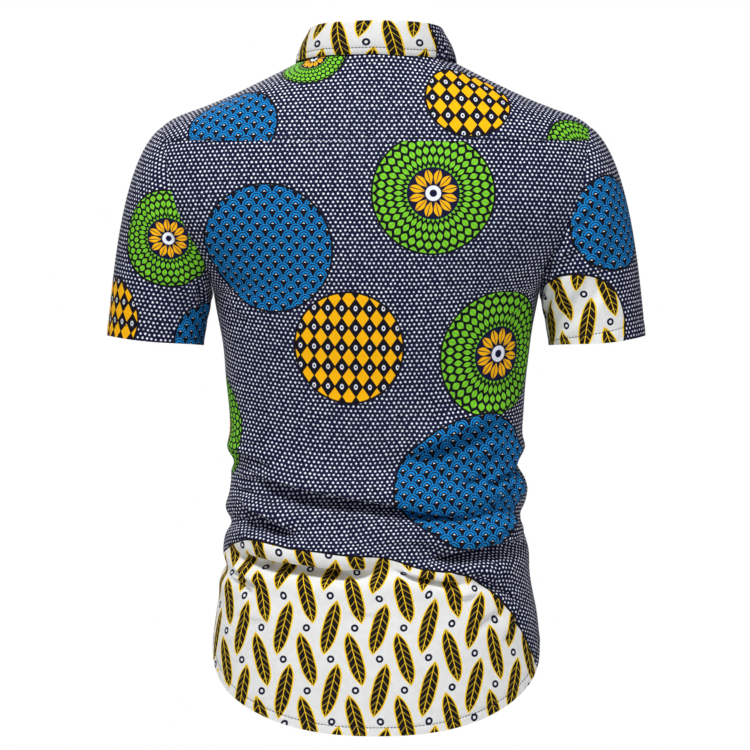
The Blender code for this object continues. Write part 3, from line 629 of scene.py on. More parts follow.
def addMesh(name, points, faces, material, loops=None, sharp=60):
    mesh = bpy.data.meshes.new(name)
    mesh.from_pydata((np.asarray(points) * mm).tolist(), [], [tuple(map(int, face)) for face in faces])
    if loops is not None:
        layer = mesh.uv_layers.new(name="cloth")
        layer.data.foreach_set("uv", (loops * mm).ravel())
    mesh.materials.append(material)
    if sharp is not None:
        smooth(mesh, sharp)
    return addObject(name, mesh)


def smooth(mesh, sharp):
    mesh.shade_smooth()
    mesh.set_sharp_from_angle(angle=np.radians(sharp))


def addObject(name, data):
    made = bpy.data.objects.new(name, data)
    bpy.context.scene.collection.objects.link(made)
    return made


def meshSpread(count, picks):
    # weights that carry values at a few picked rows to all of them
    return np.array([np.interp(np.arange(count), picks, one) for one in np.eye(len(picks))]).T


def easeMap(points, flat, across, up, cells, steps):
    # eases a flat map towards the real lengths across and up its cells, and along their diagonals
    flat = flat.copy()
    wide = np.diff(points, axis=1)
    tall = np.diff(points, axis=0)
    cosine = (unit(wide[:-1] + wide[1:]) * unit(tall[:, :-1] + tall[:, 1:])).sum(-1)
    a = (across[:-1] + across[1:]) / 2
    b = (up[:, :-1] + up[:, 1:]) / 2
    weightAcross = np.maximum(np.pad(cells, ((0, 1), (0, 0))), np.pad(cells, ((1, 0), (0, 0))))
    weightUp = np.maximum(np.pad(cells, ((0, 0), (0, 1))), np.pad(cells, ((0, 0), (1, 0))))
    every, low, high = slice(None), slice(None, -1), slice(1, None)
    links = (
        ((every, low), (every, high), across, weightAcross),
        ((low, every), (high, every), up, weightUp),
        ((low, low), (high, high), np.sqrt(np.maximum(a * a + b * b + 2 * a * b * cosine, 0)), cells * 0.5),
        ((low, high), (high, low), np.sqrt(np.maximum(a * a + b * b - 2 * a * b * cosine, 0)), cells * 0.5),
    )
    load = np.full(flat.shape[:2], 1e-9)
    for one, other, _, weight in links:
        load[one] += weight
        load[other] += weight
    for _ in range(steps):
        move = np.zeros(flat.shape)
        for one, other, length, weight in links:
            way = flat[other] - flat[one]
            tooLong = 1 - length / np.maximum(np.linalg.norm(way, axis=-1), 1e-6)
            pull = way * (0.5 * weight * tooLong)[..., None]
            move[one] += pull
            move[other] -= pull
        flat += 1.5 * move / load[..., None]
    return flat


def flatMapOf(points, start, keep=None, rounds=((9, 160), (4, 90), (2, 50), (1, 24))):
    # the cut laid flat: a first map, eased in rounds of (rows skipped, steps), coarse ones first
    rows, count = points.shape[:2]
    runAcross = runs(points, 1)
    runUp = runs(points, 0)
    kept = np.ones((rows - 1, count - 1)) if keep is None else keep.astype(float)
    flat = np.array(start, float)

    def picked(last, skip):
        return np.unique(np.linspace(0, last, max(last // skip, 2) + 1).round().astype(int))

    for skip, steps in rounds:
        i = picked(rows - 1, skip)
        j = picked(count - 1, skip)
        picks = np.ix_(i, j)
        before = flat[picks]
        across = np.diff(runAcross[picks], axis=1)
        up = np.diff(runUp[picks], axis=0)
        after = easeMap(points[picks], before, across, up, kept[np.ix_(i[:-1], j[:-1])], steps)
        spread = (meshSpread(rows, i), after - before, meshSpread(count, j))
        flat += np.einsum("ri,ijk,cj->rck", *spread, optimize=True)
    return flat


def crowded(start, end, count, tight=0.35):
    # even steps that close up a little towards both ends, where the seams are
    t = np.linspace(0, 1, count + 1)
    t = t - tight * np.sin(2 * np.pi * t) / (2 * np.pi)
    return start + (end - start) * t


# stitches: small rounded bars of thread along a line on the cloth


def evenly(points, pitch):
    run = runs(points)
    at = np.linspace(0, run[-1], max(int(run[-1] / pitch), 1) + 1)
    return np.stack([np.interp(at, run, points[:, k]) for k in range(3)], -1)


def addBar(points, faces, middle, way, up, length, radius):
    # one visible length of thread, thin at both ends
    profile = ((-0.5, 0.25), (-0.3, 1.0), (0.3, 1.0), (0.5, 0.25))
    sides = 6
    first = len(points)
    aside = np.cross(way, up)
    for along, size in profile:
        for t in np.arange(sides) * 2 * np.pi / sides:
            out = (aside * np.cos(t) + up * np.sin(t)) * radius * size
            points.append(middle + way * along * length + out)
    last = first + sides * (len(profile) - 1)
    for low in range(first, last, sides):
        for k in range(sides):
            n = (k + 1) % sides
            faces.append((low + k, low + sides + k, low + sides + n, low + n))
    faces.append(tuple(range(first, first + sides)))
    faces.append(tuple(range(last + sides - 1, last - 1, -1)))


def stitchRows(name, rows, material, pitch=3.7, length=2.8, radius=0.36, lift=0.16, crosswise=False):
    # rows holds (points, normals) along each line
    points = []
    faces = []
    for line, normals in rows:
        spots = evenly(line, pitch)
        nearest = np.array([np.argmin(((line - spot) ** 2).sum(-1)) for spot in spots])
        for spot, way, up in zip(spots, unit(np.gradient(spots, axis=0)), unit(normals[nearest])):
            way = unit(np.cross(way, up)) if crosswise else way
            addBar(points, faces, spot + up * lift, way, up, length, radius)
    return addMesh(name, points, faces, material)


# shader groups


def arithmetic(operation, swapped=False):
    def apply(self, other):
        return self.graph.math(operation, *((other, self) if swapped else (self, other)))

    return apply


class Value:
    # a number that changes over the surface, with the usual arithmetic

    def __init__(self, graph, socket):
        self.graph = graph
        self.socket = socket

    __add__ = arithmetic("ADD")
    __sub__ = arithmetic("SUBTRACT")
    __rsub__ = arithmetic("SUBTRACT", swapped=True)
    __mul__ = arithmetic("MULTIPLY")
    __truediv__ = arithmetic("DIVIDE")
    __mod__ = arithmetic("MODULO")
    __pow__ = arithmetic("POWER")

    def __abs__(self):
        return self.graph.math("ABSOLUTE", self)


def whole(value):
    return value.graph.math("FLOOR", value)


def fract(value):
    return value.graph.math("FRACT", value)


def sine(value):
    return value.graph.math("SINE", value)


def distance(x, y):
    return x.graph.math("SQRT", x * x + y * y)


class Graph:
    # short ways to add nodes to a tree

    def __init__(self, tree):
        self.tree = tree

    def node(self, kind, inputs=None, **settings):
        made = self.tree.nodes.new(kind)
        for key, value in settings.items():
            setattr(made, key, value)
        for key, value in (inputs or {}).items():
            self.feed(made.inputs[key], value)
        return made

    def group(self, effect, **inputs):
        return self.node("ShaderNodeGroup", inputs, node_tree=effects[effect]).outputs

    def feed(self, socket, value):
        value = getattr(value, "socket", value)
        if hasattr(value, "links"):
            self.tree.links.new(value, socket)
        else:
            socket.default_value = value

    def math(self, operation, *inputs):
        made = self.node("ShaderNodeMath", dict(enumerate(inputs)), operation=operation)
        return Value(self, made.outputs[0])

    def noise(self, vector, scale, detail=2):
        made = self.node("ShaderNodeTexNoise", dict(Vector=vector, Scale=scale, Detail=detail))
        return Value(self, made.outputs[0])

    def mix(self, factor, first, second):
        first, second = [inks[one] if isinstance(one, str) else one for one in (first, second)]
        return self.node("ShaderNodeMix", {0: factor, 6: first, 7: second}, data_type="RGBA").outputs[2]

    def split(self, vector):
        made = self.node("ShaderNodeSeparateXYZ", {0: vector})
        return Value(self, made.outputs[0]), Value(self, made.outputs[1])

    def below(self, value, limit, soft):
        # 1 where the value is under the limit, with a soft edge
        inputs = {0: value - limit, 1: -soft, 2: soft, 3: 1.0, 4: 0.0}
        made = self.node("ShaderNodeMapRange", inputs, interpolation_type="SMOOTHSTEP")
        return Value(self, made.outputs[0])

    def paint(self, colour, *coats):
        # each coat (ink, value, limit, soft) covers the places where its value is under the limit
        for ink, value, limit, soft in coats:
            colour = self.mix(self.below(value, limit, soft), colour, ink)
        return colour


def newGroup(name, inputs, outputs):
    # inputs gives each one's name and its value at first
    kinds = dict(Vector="NodeSocketVector", Under="NodeSocketColor", Color="NodeSocketColor")
    tree = bpy.data.node_groups.new(name, "ShaderNodeTree")
    for way, labels in (("INPUT", inputs), ("OUTPUT", outputs)):
        for label in labels:
            kind = kinds.get(label, "NodeSocketFloat")
            socket = tree.interface.new_socket(label, in_out=way, socket_type=kind)
            if way == "INPUT" and inputs[label] is not None:
                socket.default_value = inputs[label]
    g = Graph(tree)
    given = {socket.name: Value(g, socket) for socket in g.node("NodeGroupInput").outputs}
    return g, given, g.node("NodeGroupOutput").inputs


inks = dict(
    navy=(0.0060, 0.0075, 0.036, 1), white=(0.80, 0.83, 0.93, 1), dark=(0.0055, 0.0045, 0.009, 1),
    green=(0.195, 0.62, 0.028, 1), ochre=(0.95, 0.47, 0.003, 1), blue=(0.003, 0.24, 0.66, 1),
    brown=(0.011, 0.008, 0.007, 1), cream=(0.80, 0.805, 0.80, 1), yellow=(0.98, 0.64, 0.022, 1),
)


def dotGroup():
    # navy ground with close rows of small pale dots, each a little off its place and ragged at its edge
    dot = dict(pitch=0.00508, rowShare=0.855, size=0.215, astray=0.16, ragged=0.16)
    g, given, out = newGroup("DotGround", dict(Vector=None, Pitch=dot["pitch"], Size=dot["size"]), ["Color"])
    x, y = g.split(given["Vector"])
    y = y / (given["Pitch"] * dot["rowShare"])
    row = whole(y)
    x = x / given["Pitch"] + row % 2.0 * 0.5
    cell = g.node("ShaderNodeCombineXYZ", {0: whole(x), 1: row}).outputs[0]
    noise = g.node("ShaderNodeTexWhiteNoise", dict(Vector=cell), noise_dimensions="2D").outputs
    offX, offY = g.split(noise["Color"])
    dx = fract(x) - (offX * dot["astray"] + 0.42)
    dy = fract(y) - (offY * dot["astray"] + 0.42)
    roundness = distance(dx, dy * 0.866)
    edgy = abs(dx) + abs(dy) * 0.87
    wobble = g.noise(given["Vector"], 900) * dot["ragged"] - dot["ragged"] / 2
    size = given["Size"] * (Value(g, noise["Value"]) * 0.3 + 0.85)
    g.feed(out["Color"], g.paint("navy", ("white", roundness * 0.55 + edgy * 0.36 + wobble, size, 0.05)))
    return g.tree


def discStart(name):
    # a round patch: its radius, the place from its middle, and what lays a colour inside its rim
    rim = dict(width=0.0022, soft=0.0003)
    g, given, out = newGroup(name, dict(Under=None, Vector=None, Across=0.0, Up=0.0, Radius=0.06), ["Color"])
    x, y = g.split(given["Vector"])
    x = x - given["Across"]
    y = y - given["Up"]
    far = distance(x, y)

    def finish(colour):
        rimmed = g.paint("dark", (colour, far, given["Radius"] - rim["width"], rim["soft"]))
        g.feed(out["Color"], g.paint(given["Under"], (rimmed, far, given["Radius"], rim["soft"])))
        return g.tree

    return g, given["Radius"], x, y, finish


def petalGroup():
    # rings of pointed petals round an ochre flower on navy
    rings = dict(first=0.24, count=6.2, spread=1.25, petals=38.0, petalHalf=0.39)
    heart = dict(petals=12.0, start=0.13, length=0.27, petalHalf=0.43, radius=0.425)
    g, radius, x, y, finish = discStart("PetalDisc")
    r = distance(x, y) / radius
    turn = g.math("ARCTAN2", y, x) / (2 * np.pi)
    ring = (r ** rings["spread"] - rings["first"]) * rings["count"]
    s = abs(fract(turn * rings["petals"] + whole(ring) * 0.5) - 0.5)
    lens = sine(fract(ring) * np.pi) * rings["petalHalf"]
    colour = g.paint("dark", ("green", s, lens, 0.03), (g.mix(0.4, "green", "dark"), s, 0.045, 0.015))
    aside = abs(fract(turn * heart["petals"]) - 0.5)
    petal = sine((r - heart["start"]) / heart["length"] * np.pi) * heart["petalHalf"]
    flower = g.paint("navy", ("ochre", aside, petal, 0.03), ("navy", aside, 0.05, 0.02),
                     ("white", r, 0.125, 0.006), ("navy", r, 0.06, 0.006))
    return finish(g.paint(colour, (flower, r, heart["radius"], 0.006)))


def scaleGroup():
    # overlapping rounded scales in rows
    scale = dict(wide=0.0165, rise=0.42, soft=0.012)
    lines = (("blue", 0.42), ("dark", 0.345), ("blue", 0.275), ("dark", 0.165), ("white", 0.07))
    g, _, x, y, finish = discStart("ScaleDisc")
    px = x / scale["wide"]
    py = y / (scale["wide"] * scale["rise"])
    top = whole(py)
    rows = []
    for lower in (0.0, 1.0, 2.0):
        row = top - lower
        d = distance(fract(px + row % 2.0 * 0.5) - 0.5, (py - row) * scale["rise"])
        colour = g.paint("dark", *((ink, d, limit, scale["soft"]) for ink, limit in lines))
        rows.append((colour, d, 0.5, 0.01))
    return finish(g.paint(rows[2][0], rows[1], rows[0]))


def latticeGroup():
    # ochre and dark diamonds, the dark ones with a pale spot
    diamond = dict(wide=0.0150, slope=0.72)
    g, _, x, y, finish = discStart("LatticeDisc")
    p = (x + y * diamond["slope"]) / diamond["wide"]
    q = (x - y * diamond["slope"]) / diamond["wide"]
    odd = abs((whole(p) + whole(q)) % 2.0)
    p = abs(fract(p) - 0.5)
    q = abs(fract(q) - 0.5)
    spot = distance(p, q)
    darkCell = g.paint("dark", ("white", spot, 0.19, 0.03), ("dark", spot, 0.09, 0.03))
    ochreCell = g.paint("dark", ("ochre", g.math("MAXIMUM", p, q), 0.46, 0.015))
    return finish(g.paint(ochreCell, (darkCell, odd, 0.5, 0.1)))


def leafGroup():
    # pale ground with ringed spots and columns of dark leaves that lean left and right in turn
    leaf = dict(wide=25.5, tall=66.0, lean=0.25, half=8.4, pointed=3.2, reach=2.34, veinPitch=7.5, soft=0.25)
    g, _, x, y, finish = discStart("LeafField")
    px = x / (leaf["wide"] * mm)
    odd = abs(whole(px) % 2.0)
    vy = fract(y / (leaf["tall"] * mm) + odd * 0.5) - 0.5
    across = (fract(px) - 0.5) * leaf["wide"]
    up = vy * leaf["tall"]
    aside = abs(across + up * (odd * (2 * leaf["lean"]) - leaf["lean"]))
    long = abs(vy * leaf["reach"])
    half = (1.0 - long ** leaf["pointed"]) * leaf["half"]
    inner = half - 0.9
    vein = abs(fract((up + aside) / leaf["veinPitch"]) - 0.5)
    colour = g.paint("cream", ("yellow", aside, half + 0.7, leaf["soft"]),
                     ("brown", aside, inner, leaf["soft"]))
    for line in (g.below(vein, 0.035, 0.03) * g.below(aside, inner, 0.2),
                 g.below(aside, 0.45, 0.15) * g.below(long, 0.9, 0.02)):
        colour = g.mix(line, colour, "yellow")
    spot = distance(across, (0.5 - abs(vy)) * leaf["tall"])
    return finish(g.paint(colour, ("navy", spot, 4.0, leaf["soft"]), ("cream", spot, 1.6, leaf["soft"])))


def weaveGroup():
    # a plain weave with a few slubs: its height in metres and the shade of its threads
    weave = dict(thread=0.00045, height=0.00003, slubHeight=0.0006, slubScale=140, grainScale=1500)
    g, given, out = newGroup("PlainWeave", dict(Vector=None, Thread=weave["thread"]), ["Height", "Shade"])
    x, y = g.split(given["Vector"])
    crossing = sine(x * np.pi / given["Thread"]) * sine(y * np.pi / given["Thread"])
    slub = g.noise(given["Vector"], weave["slubScale"], 3) - 0.5
    grain = g.noise(given["Vector"], weave["grainScale"])
    g.feed(out["Height"], crossing * weave["height"] + slub * weave["slubHeight"])
    g.feed(out["Shade"], slub * 0.20 + (grain * 0.24 + 0.88))
    return g.tree


effects = dict(dots=dotGroup(), petals=petalGroup(), scales=scaleGroup(), lattice=latticeGroup(),
               leaves=leafGroup(), weave=weaveGroup())


def plainMaterial(name, colour, roughness, others={}):
    made = bpy.data.materials.new(name)
    made.use_nodes = True
    shader = made.node_tree.nodes["Principled BSDF"].inputs
    for label, value in {"Base Color": colour, "Roughness": roughness, **others}.items():
        shader[label].default_value = value
    return made


def clothMaterial(name, patches, shift=(0.0, 0.0), paintedShade=1.0):
    # printed cotton: dotted ground with patches laid over it, each (motif, across mm, up mm, radius mm)
    cotton = {"Specular IOR Level": 0.10, "Sheen Weight": 0.01, "Sheen Roughness": 0.5}
    made = plainMaterial(name, inks["cream"], 0.78, cotton)
    g = Graph(made.node_tree)
    uv = g.node("ShaderNodeUVMap", uv_map="cloth").outputs[0]
    moved = g.node("ShaderNodeVectorMath", {0: uv, 1: (shift[0] * mm, shift[1] * mm, 0)}, operation="ADD")
    colour = g.group("dots", Vector=moved.outputs[0])[0]
    for motif, across, up, radius in patches:
        place = dict(Across=across * mm, Up=up * mm, Radius=radius * mm)
        colour = g.group(motif, Under=colour, Vector=uv, **place)[0]
    weave = g.group("weave", Vector=uv)
    # a factor under 1 darkens the whole print: painted shade for a piece that the lamps light more strongly
    # than the rest
    threadsAndPaintedShade = Value(g, weave["Shade"]) * paintedShade
    grey = g.node("ShaderNodeCombineColor", {0: threadsAndPaintedShade, 1: threadsAndPaintedShade, 2: threadsAndPaintedShade}).outputs[0]
    shade = g.node("ShaderNodeMix", {0: 1.0, 6: colour, 7: grey}, data_type="RGBA", blend_type="MULTIPLY")
    bump = g.node("ShaderNodeBump", dict(Strength=0.6, Distance=1.0, Height=weave["Height"]))
    shader = made.node_tree.nodes["Principled BSDF"].inputs
    g.feed(shader["Base Color"], shade.outputs[2])
    g.feed(shader["Normal"], bump.outputs[0])
    return made


prints = {
    "back": dict(patches=(
        ("petals", 60, -158, 66), ("scales", -118, -218, 72), ("lattice", -30, -322, 60),
        ("petals", 138, -338, 70), ("petals", -214, -430, 58), ("scales", 104, -484, 86),
        ("leaves", -112, -968, 404),
    )),
    "yoke": dict(shift=(2.1, 1.3), patches=(
        ("scales", -150, 18, 50), ("lattice", 96, 46, 46), ("petals", 228, -6, 52), ("petals", -70, 104, 40),
    )),
    "front_left": dict(shift=(1.2, 2.3), patches=(
        ("petals", -60, -190, 62), ("scales", -150, -330, 68), ("lattice", -64, -430, 54),
        ("leaves", -120, -940, 400),
    )),
    "front_right": dict(shift=(3.2, 0.7), patches=(
        ("lattice", 90, -200, 58), ("petals", 70, -350, 66), ("scales", 168, -450, 70),
        ("leaves", 60, -950, 390),
    )),
    "sleeve_left": dict(shift=(0.4, 1.9), patches=(
        ("petals", 92, 116, 54), ("lattice", 24, 18, 46), ("scales", 150, 8, 40), ("leaves", -106, 84, 62),
    )),
    "sleeve_right": dict(shift=(2.6, 3.1), patches=(
        ("scales", 54, 126, 52), ("leaves", 112, 22, 58), ("petals", -76, 70, 56),
    )),
    # the collar's print is painted 16% darker: painted shade that holds back the stronger key light falling
    # on the collar from above
    "collar": dict(paintedShade=0.84, patches=(("leaves", -22, -30, 86), ("petals", 150, 46, 40))),
}
cloths = {panel: clothMaterial(f"{panel}_print", **laid) for panel, laid in prints.items()}
thread = plainMaterial("navy_thread", (0.012, 0.012, 0.022, 1), 0.6)
shellFinish = plainMaterial("dark_shell", (0.022, 0.022, 0.034, 1), 0.28)
print("materials made")


# the cloth pieces


rowPlan = dict(
    tailTop=-600.0, foldTop=-360.0, hemShare=0.117, hemRows=12, tailRows=26, seamBand=10.0, seamRows=7,
)


def rowLevels(hem, top, foldPitch, upperPitch=4.6):
    # level of each row from the hem up: close at the hem turn and through the waist, wider above
    tail = np.concatenate([np.linspace(0, rowPlan["hemShare"], rowPlan["hemRows"], endpoint=False),
                           np.linspace(rowPlan["hemShare"], 1, rowPlan["tailRows"], endpoint=False)])
    band = top - rowPlan["seamBand"]
    upper = int((band - rowPlan["foldTop"]) / upperPitch)
    fixed = np.concatenate([np.arange(rowPlan["tailTop"], rowPlan["foldTop"], foldPitch),
                            np.linspace(rowPlan["foldTop"], band, upper, endpoint=False),
                            np.linspace(band, top, rowPlan["seamRows"])])
    low = hem + (rowPlan["tailTop"] - hem) * tail[:, None]
    return np.concatenate([low, np.broadcast_to(fixed[:, None], (len(fixed), len(hem)))])


def runUpFrom(points, base):
    # how far each row lies from the base row, along the cloth
    up = runs(points)
    return up - up[base]


def hemLine(side, share, inset=0.0):
    # where the body's hem is stitched
    place = hemLevel(side, share) + bodyHem["turn"] * np.sqrt(1 + hemSlope(side, share) ** 2)
    normals = bodyNormal(side, share, place)
    return bodyCloth(side, share, place) - normals * np.reshape(inset, (-1, 1)), normals


def declare(piece, node, rows):
    # the piece takes its solid's place, with rows of stitches on it
    stitches = stitchRows(f"{node}_stitches", rows, thread)
    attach(piece, "root")
    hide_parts(node)
    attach(stitches, "root")


def makeBack():
    back = dict(columns=150, foldPitch=1.3, seamPress=0.6, seamWidth=4.0, stitchEnd=0.996)
    share = crowded(-1, 1, back["columns"])
    hem = hemLevel("back", share)
    level = rowLevels(hem, cut["yokeSeam"], back["foldPitch"])
    points = bodyCloth("back", share[None, :], level)
    seam = bell(level, cut["yokeSeam"], back["seamWidth"]) * back["seamPress"]
    points = points - gridNormals(points) * seam[..., None]
    across = share * arcLength("back", share[None, :], level)
    uv = flatMapOf(points, stack(across, cut["yokeSeam"] + runUpFrom(points, -1)))
    piece = clothShell("back_cloth", points, uv, cloths["back"], wall=hemWall(bodyHem, level - hem))
    line = np.linspace(-back["stitchEnd"], back["stitchEnd"], 700)
    declare(piece, "back", [hemLine("back", line)])


def makeYoke():
    yoke = dict(backRows=40, frontRows=20, overlap=0.016, lift=0.55, liftReach=0.10, mapWidth=1.06,
                stitchRise=0.012, stitchEnd=0.995)
    right = np.concatenate([np.linspace(0, cut["neckShare"], 29), np.linspace(cut["neckShare"], 1, 57)[1:]])
    share = np.concatenate([-right[:0:-1], right])
    rises = np.linspace(-yoke["overlap"], 1, yoke["backRows"] + 1)
    falls = np.linspace(0, 1, yoke["frontRows"] + 1)[1:]
    points = np.array([mirrored(yokeBack, share, rise) for rise in rises]
                      + [mirrored(yokeFront, share, fall) for fall in falls])
    keep = np.ones((len(points) - 1, len(share) - 1), bool)
    keep[yoke["backRows"]:, np.abs(share[1:] + share[:-1]) / 2 < cut["neckShare"]] = False
    normals = gridNormals(points)
    lift = yoke["lift"] * bell(rises, 0, yoke["liftReach"])[:, None, None]
    points[: len(rises)] += normals[: len(rises)] * lift
    uv = flatMapOf(points, stack(points[0, :, 0] * yoke["mapWidth"], runUpFrom(points, 0)), keep)
    piece = clothShell("yoke_cloth", points, uv, cloths["yoke"], keep=keep, normals=normals)
    line = np.linspace(-yoke["stitchEnd"], yoke["stitchEnd"], 500)
    under = mirrored(yokeBack, line, yoke["stitchRise"])
    up = unit(np.cross(np.gradient(under, axis=0), under - mirrored(yokeBack, line, 0.0)))
    rows = [(under + up * yoke["lift"], up)]
    declare(piece, "yoke", rows)


def lapInset(way, share):
    # the right front steps in where it lies under the left one
    near = smoothstep(1 - (way * share - cut["lapShare"]) / 0.10)
    return near * (cut["lapStep"] if way > 0 else 0.0)


def makeFront(side, way):
    front = dict(columns=96, foldPitch=1.5, topRows=42, mapWidth=236.0, stitchEnd=0.004,
                 placketLines=(0.072, -0.060), placketStart=6)
    name = f"front_{side}"
    share = way * crowded(1, -cut["lapShare"], front["columns"], 0.25)
    hem = hemLevel("front", share)
    level = rowLevels(hem, cut["chest"], front["foldPitch"])
    rises = np.linspace(0, 1, front["topRows"] + 1)[1:]
    upper = np.array([mirrored(frontTop, share, rise) for rise in rises])
    points = np.concatenate([bodyCloth("front", share[None, :], level), upper])
    points = points - gridNormals(points) * way * lapInset(way, share)[:, None]
    uv = flatMapOf(points, stack(share * front["mapWidth"], cut["chest"] + runUpFrom(points, len(level) - 1)))
    wall = np.full(points.shape[:2], shellWall)
    wall[: len(level)] = hemWall(bodyHem, level - hem)
    piece = clothShell(f"{name}_cloth", points, uv, cloths[name], flip=way < 0, wall=wall)
    line = way * np.linspace(1 - front["stitchEnd"], front["stitchEnd"] - cut["lapShare"], 380)
    rows = [hemLine("front", line, lapInset(way, line))]
    if way < 0:
        normals = -gridNormals(points)
        for edge in front["placketLines"]:
            j = int(np.argmin(np.abs(share - edge)))
            rows.append((points[front["placketStart"]:, j], normals[front["placketStart"]:, j]))
    declare(piece, name, rows)
    return points


def makeSleeve(side, way):
    hold = dict(columns=160, rows=64, headPress=0.5, headWidth=3.5)
    name = f"sleeve_{side}"
    mirror = np.array([way, 1, 1])
    turns = np.linspace(-180, 180, hold["columns"] + 1)[:-1]
    turn, down = np.meshgrid(turns, crowded(0, 1, hold["rows"], 0.25))
    points = sleeveCloth(turn, down, way) * mirror
    normals = gridNormals(points, closed=True) * way
    press = hold["headPress"] * bell(down * sleeve["length"], 0, hold["headWidth"])
    points = points - normals * press[..., None]
    around = np.concatenate([points, points[:, :1]], axis=1)
    turnMap = np.linspace(-0.5, 0.5, hold["columns"] + 1) * sleeve["girth"]
    uv = flatMapOf(around, stack(turnMap, -runUpFrom(around, -1)))
    piece = clothShell(f"{name}_cloth", points, uv, cloths[name], closed=True, flip=way < 0,
                       wall=hemWall(sleeveHem, (1 - down) * sleeve["length"]), normals=normals)
    line = np.linspace(0, 360, 400)
    at = np.full_like(line, 1 - sleeveHem["turn"] / sleeve["length"])
    rows = [(sleeveCloth(line, at, way) * mirror, sleevePoint(line, at)[1] * mirror)]
    declare(piece, name, rows)


# the collar


perDegree = 1.17  # mm along the neckline


def standPoint(angle, rise):
    front = (1 - np.cos(np.radians(angle))) / 2
    height = stand["back"] + (stand["front"] - stand["back"]) * front
    lap = -sideOf(angle) * stand["lapStep"] * smoothstep((np.abs(angle) - 140) / 30)
    lean = stand["lean"] + stand["sideLean"] * np.abs(np.sin(np.radians(angle)))
    out = neckOutward(angle) * (lap - lean * rise)[..., None]
    return neckPoint(angle) + out + stack(0, 0, stand["seam"] + rise * height)


def castOnto(tree, start, way):
    # where a ray meets the cloth, and the face's normal on the ray's side
    spot, facing, _, _ = tree.ray_cast(Vector(start), Vector(way))
    return spot, facing if facing.dot(Vector(way)) < 0 else -facing


def makeStand():
    collarStand = dict(columns=200, rows=12, wall=1.1, stitchRise=0.10)
    lapAngle = (180 - neck["yokeAngle"]) * cut["lapShare"] / cut["frontNeckShare"]
    angle = np.linspace(-180 - lapAngle, 180 + lapAngle, collarStand["columns"] + 1)
    points = np.array([standPoint(angle, rise) for rise in np.linspace(0, 1, collarStand["rows"] + 1)])
    piece = clothShell("collar_stand_cloth", points, stack(angle * perDegree, runUpFrom(points, 0)),
                       cloths["collar"], wall=collarStand["wall"])
    rows = [(standPoint(angle, collarStand["stitchRise"]), neckOutward(angle))]
    declare(piece, "collar_stand", rows)


def leafEdge(angle, cloth):
    # the collar's edge, laid on the shoulders and smoothed
    reach = 12
    outset, lift, swing = [lookUp(leafSections, leafColumns, name, np.abs(angle)) for name in leafColumns[1:]]
    place = angle - sideOf(angle) * swing
    plan = neckPoint(place) + neckOutward(place) * outset[..., None]
    edge = []
    for point, rise in zip(plan, lift):
        spot, up = castOnto(cloth, (point[0], point[1], 60.0), (0, 0, -1))
        edge.append(np.array(spot + up * rise))
    edge = np.array(edge)
    soft = bell(np.arange(-reach, reach + 1), 0, 5.0)
    padded = np.pad(edge[:, 2], reach, mode="reflect", reflect_type="odd")
    edge[:, 2] = np.convolve(padded, soft / soft.sum(), mode="valid")
    return edge


def makeLeaf(cloth):
    leaf = dict(columns=220, turnRows=13, fallRows=22, gap=4.0, wall=1.0, bulge=2.2, groove=0.35, roll=0.5,
                stitchIn=7.0, stitchDeep=0.3, stitchRow=-8, stitchEnds=6)
    angle = np.linspace(leaf["gap"] - 180, 180 - leaf["gap"], leaf["columns"] + 1)
    outward = neckOutward(angle)
    top = standPoint(angle, 1.0)
    rows = [top + outward * out + stack(0, 0, up) for out, up in smoothPath(leafTurn, leaf["turnRows"])]
    start = rows[-1]
    edge = leafEdge(angle, cloth)
    length = np.linalg.norm(edge - start, axis=-1)
    for t in np.linspace(0, 1, leaf["fallRows"] + 1)[1:]:
        toEdge = (1 - t) * length
        groove = leaf["groove"] * bell(toEdge, leaf["stitchIn"], 1.2)
        bulge = leaf["bulge"] * np.sin(np.pi * t) - groove - leaf["roll"] * smoothstep(1 - toEdge / 2.0)
        rows.append(start * (1 - t) + edge * t + outward * bulge[:, None])
    points = np.array(rows)
    uv = stack(angle * perDegree, -runUpFrom(points, 0))
    piece = clothShell("collar_leaf_cloth", points, uv, cloths["collar"], flip=True, wall=leaf["wall"])
    at = 1 - leaf["stitchIn"] / length
    bulge = leaf["bulge"] * np.sin(np.pi * at) - leaf["stitchDeep"]
    line = between(start, edge, at) + outward * bulge[:, None]
    inside = slice(leaf["stitchEnds"], -leaf["stitchEnds"])
    rows = [(line[inside], -gridNormals(points)[leaf["stitchRow"]][inside])]
    declare(piece, "collar_leaf", rows)


# buttons: 1 is on the collar stand, the others are down the front


button = dict(radius=5.6, thick=2.2, sides=40, holeRadius=0.75, holeSides=14, holeOut=1.35, threadRadius=0.30,
              threadOut=0.27, threadSpare=0.9, slitHalf=7.0, slitGap=1.0, tackHalf=0.8)
buttonProfile = ((0.0, 0.52), (0.46, 0.55), (0.56, 0.80), (0.66, 1.0), (0.76, 1.06), (0.86, 1.0),
                 (0.95, 0.82), (1.0, 0.56), (0.99, 0.34), (0.94, 0.12), (0.80, 0.0), (0.0, 0.0))
frontButtons = range(2, 8)


def turned(profile, radius, height, sides):
    # a closed turned form from its middle on top to its middle below
    turns = np.arange(sides) * 2 * np.pi / sides
    points = [(0, 0, profile[0][1] * height), (0, 0, profile[-1][1] * height)]
    faces = []
    for out, up in profile[1:-1]:
        points += [(out * radius * np.cos(a), out * radius * np.sin(a), up * height) for a in turns]
    last = 2 + sides * (len(profile) - 3)
    for k in range(sides):
        n = (k + 1) % sides
        faces.append((0, 2 + k, 2 + n))
        for low in range(2, last, sides):
            faces.append((low + k, low + sides + k, low + sides + n, low + n))
        faces.append((1, last + n, last + k))
    return np.array(points), faces


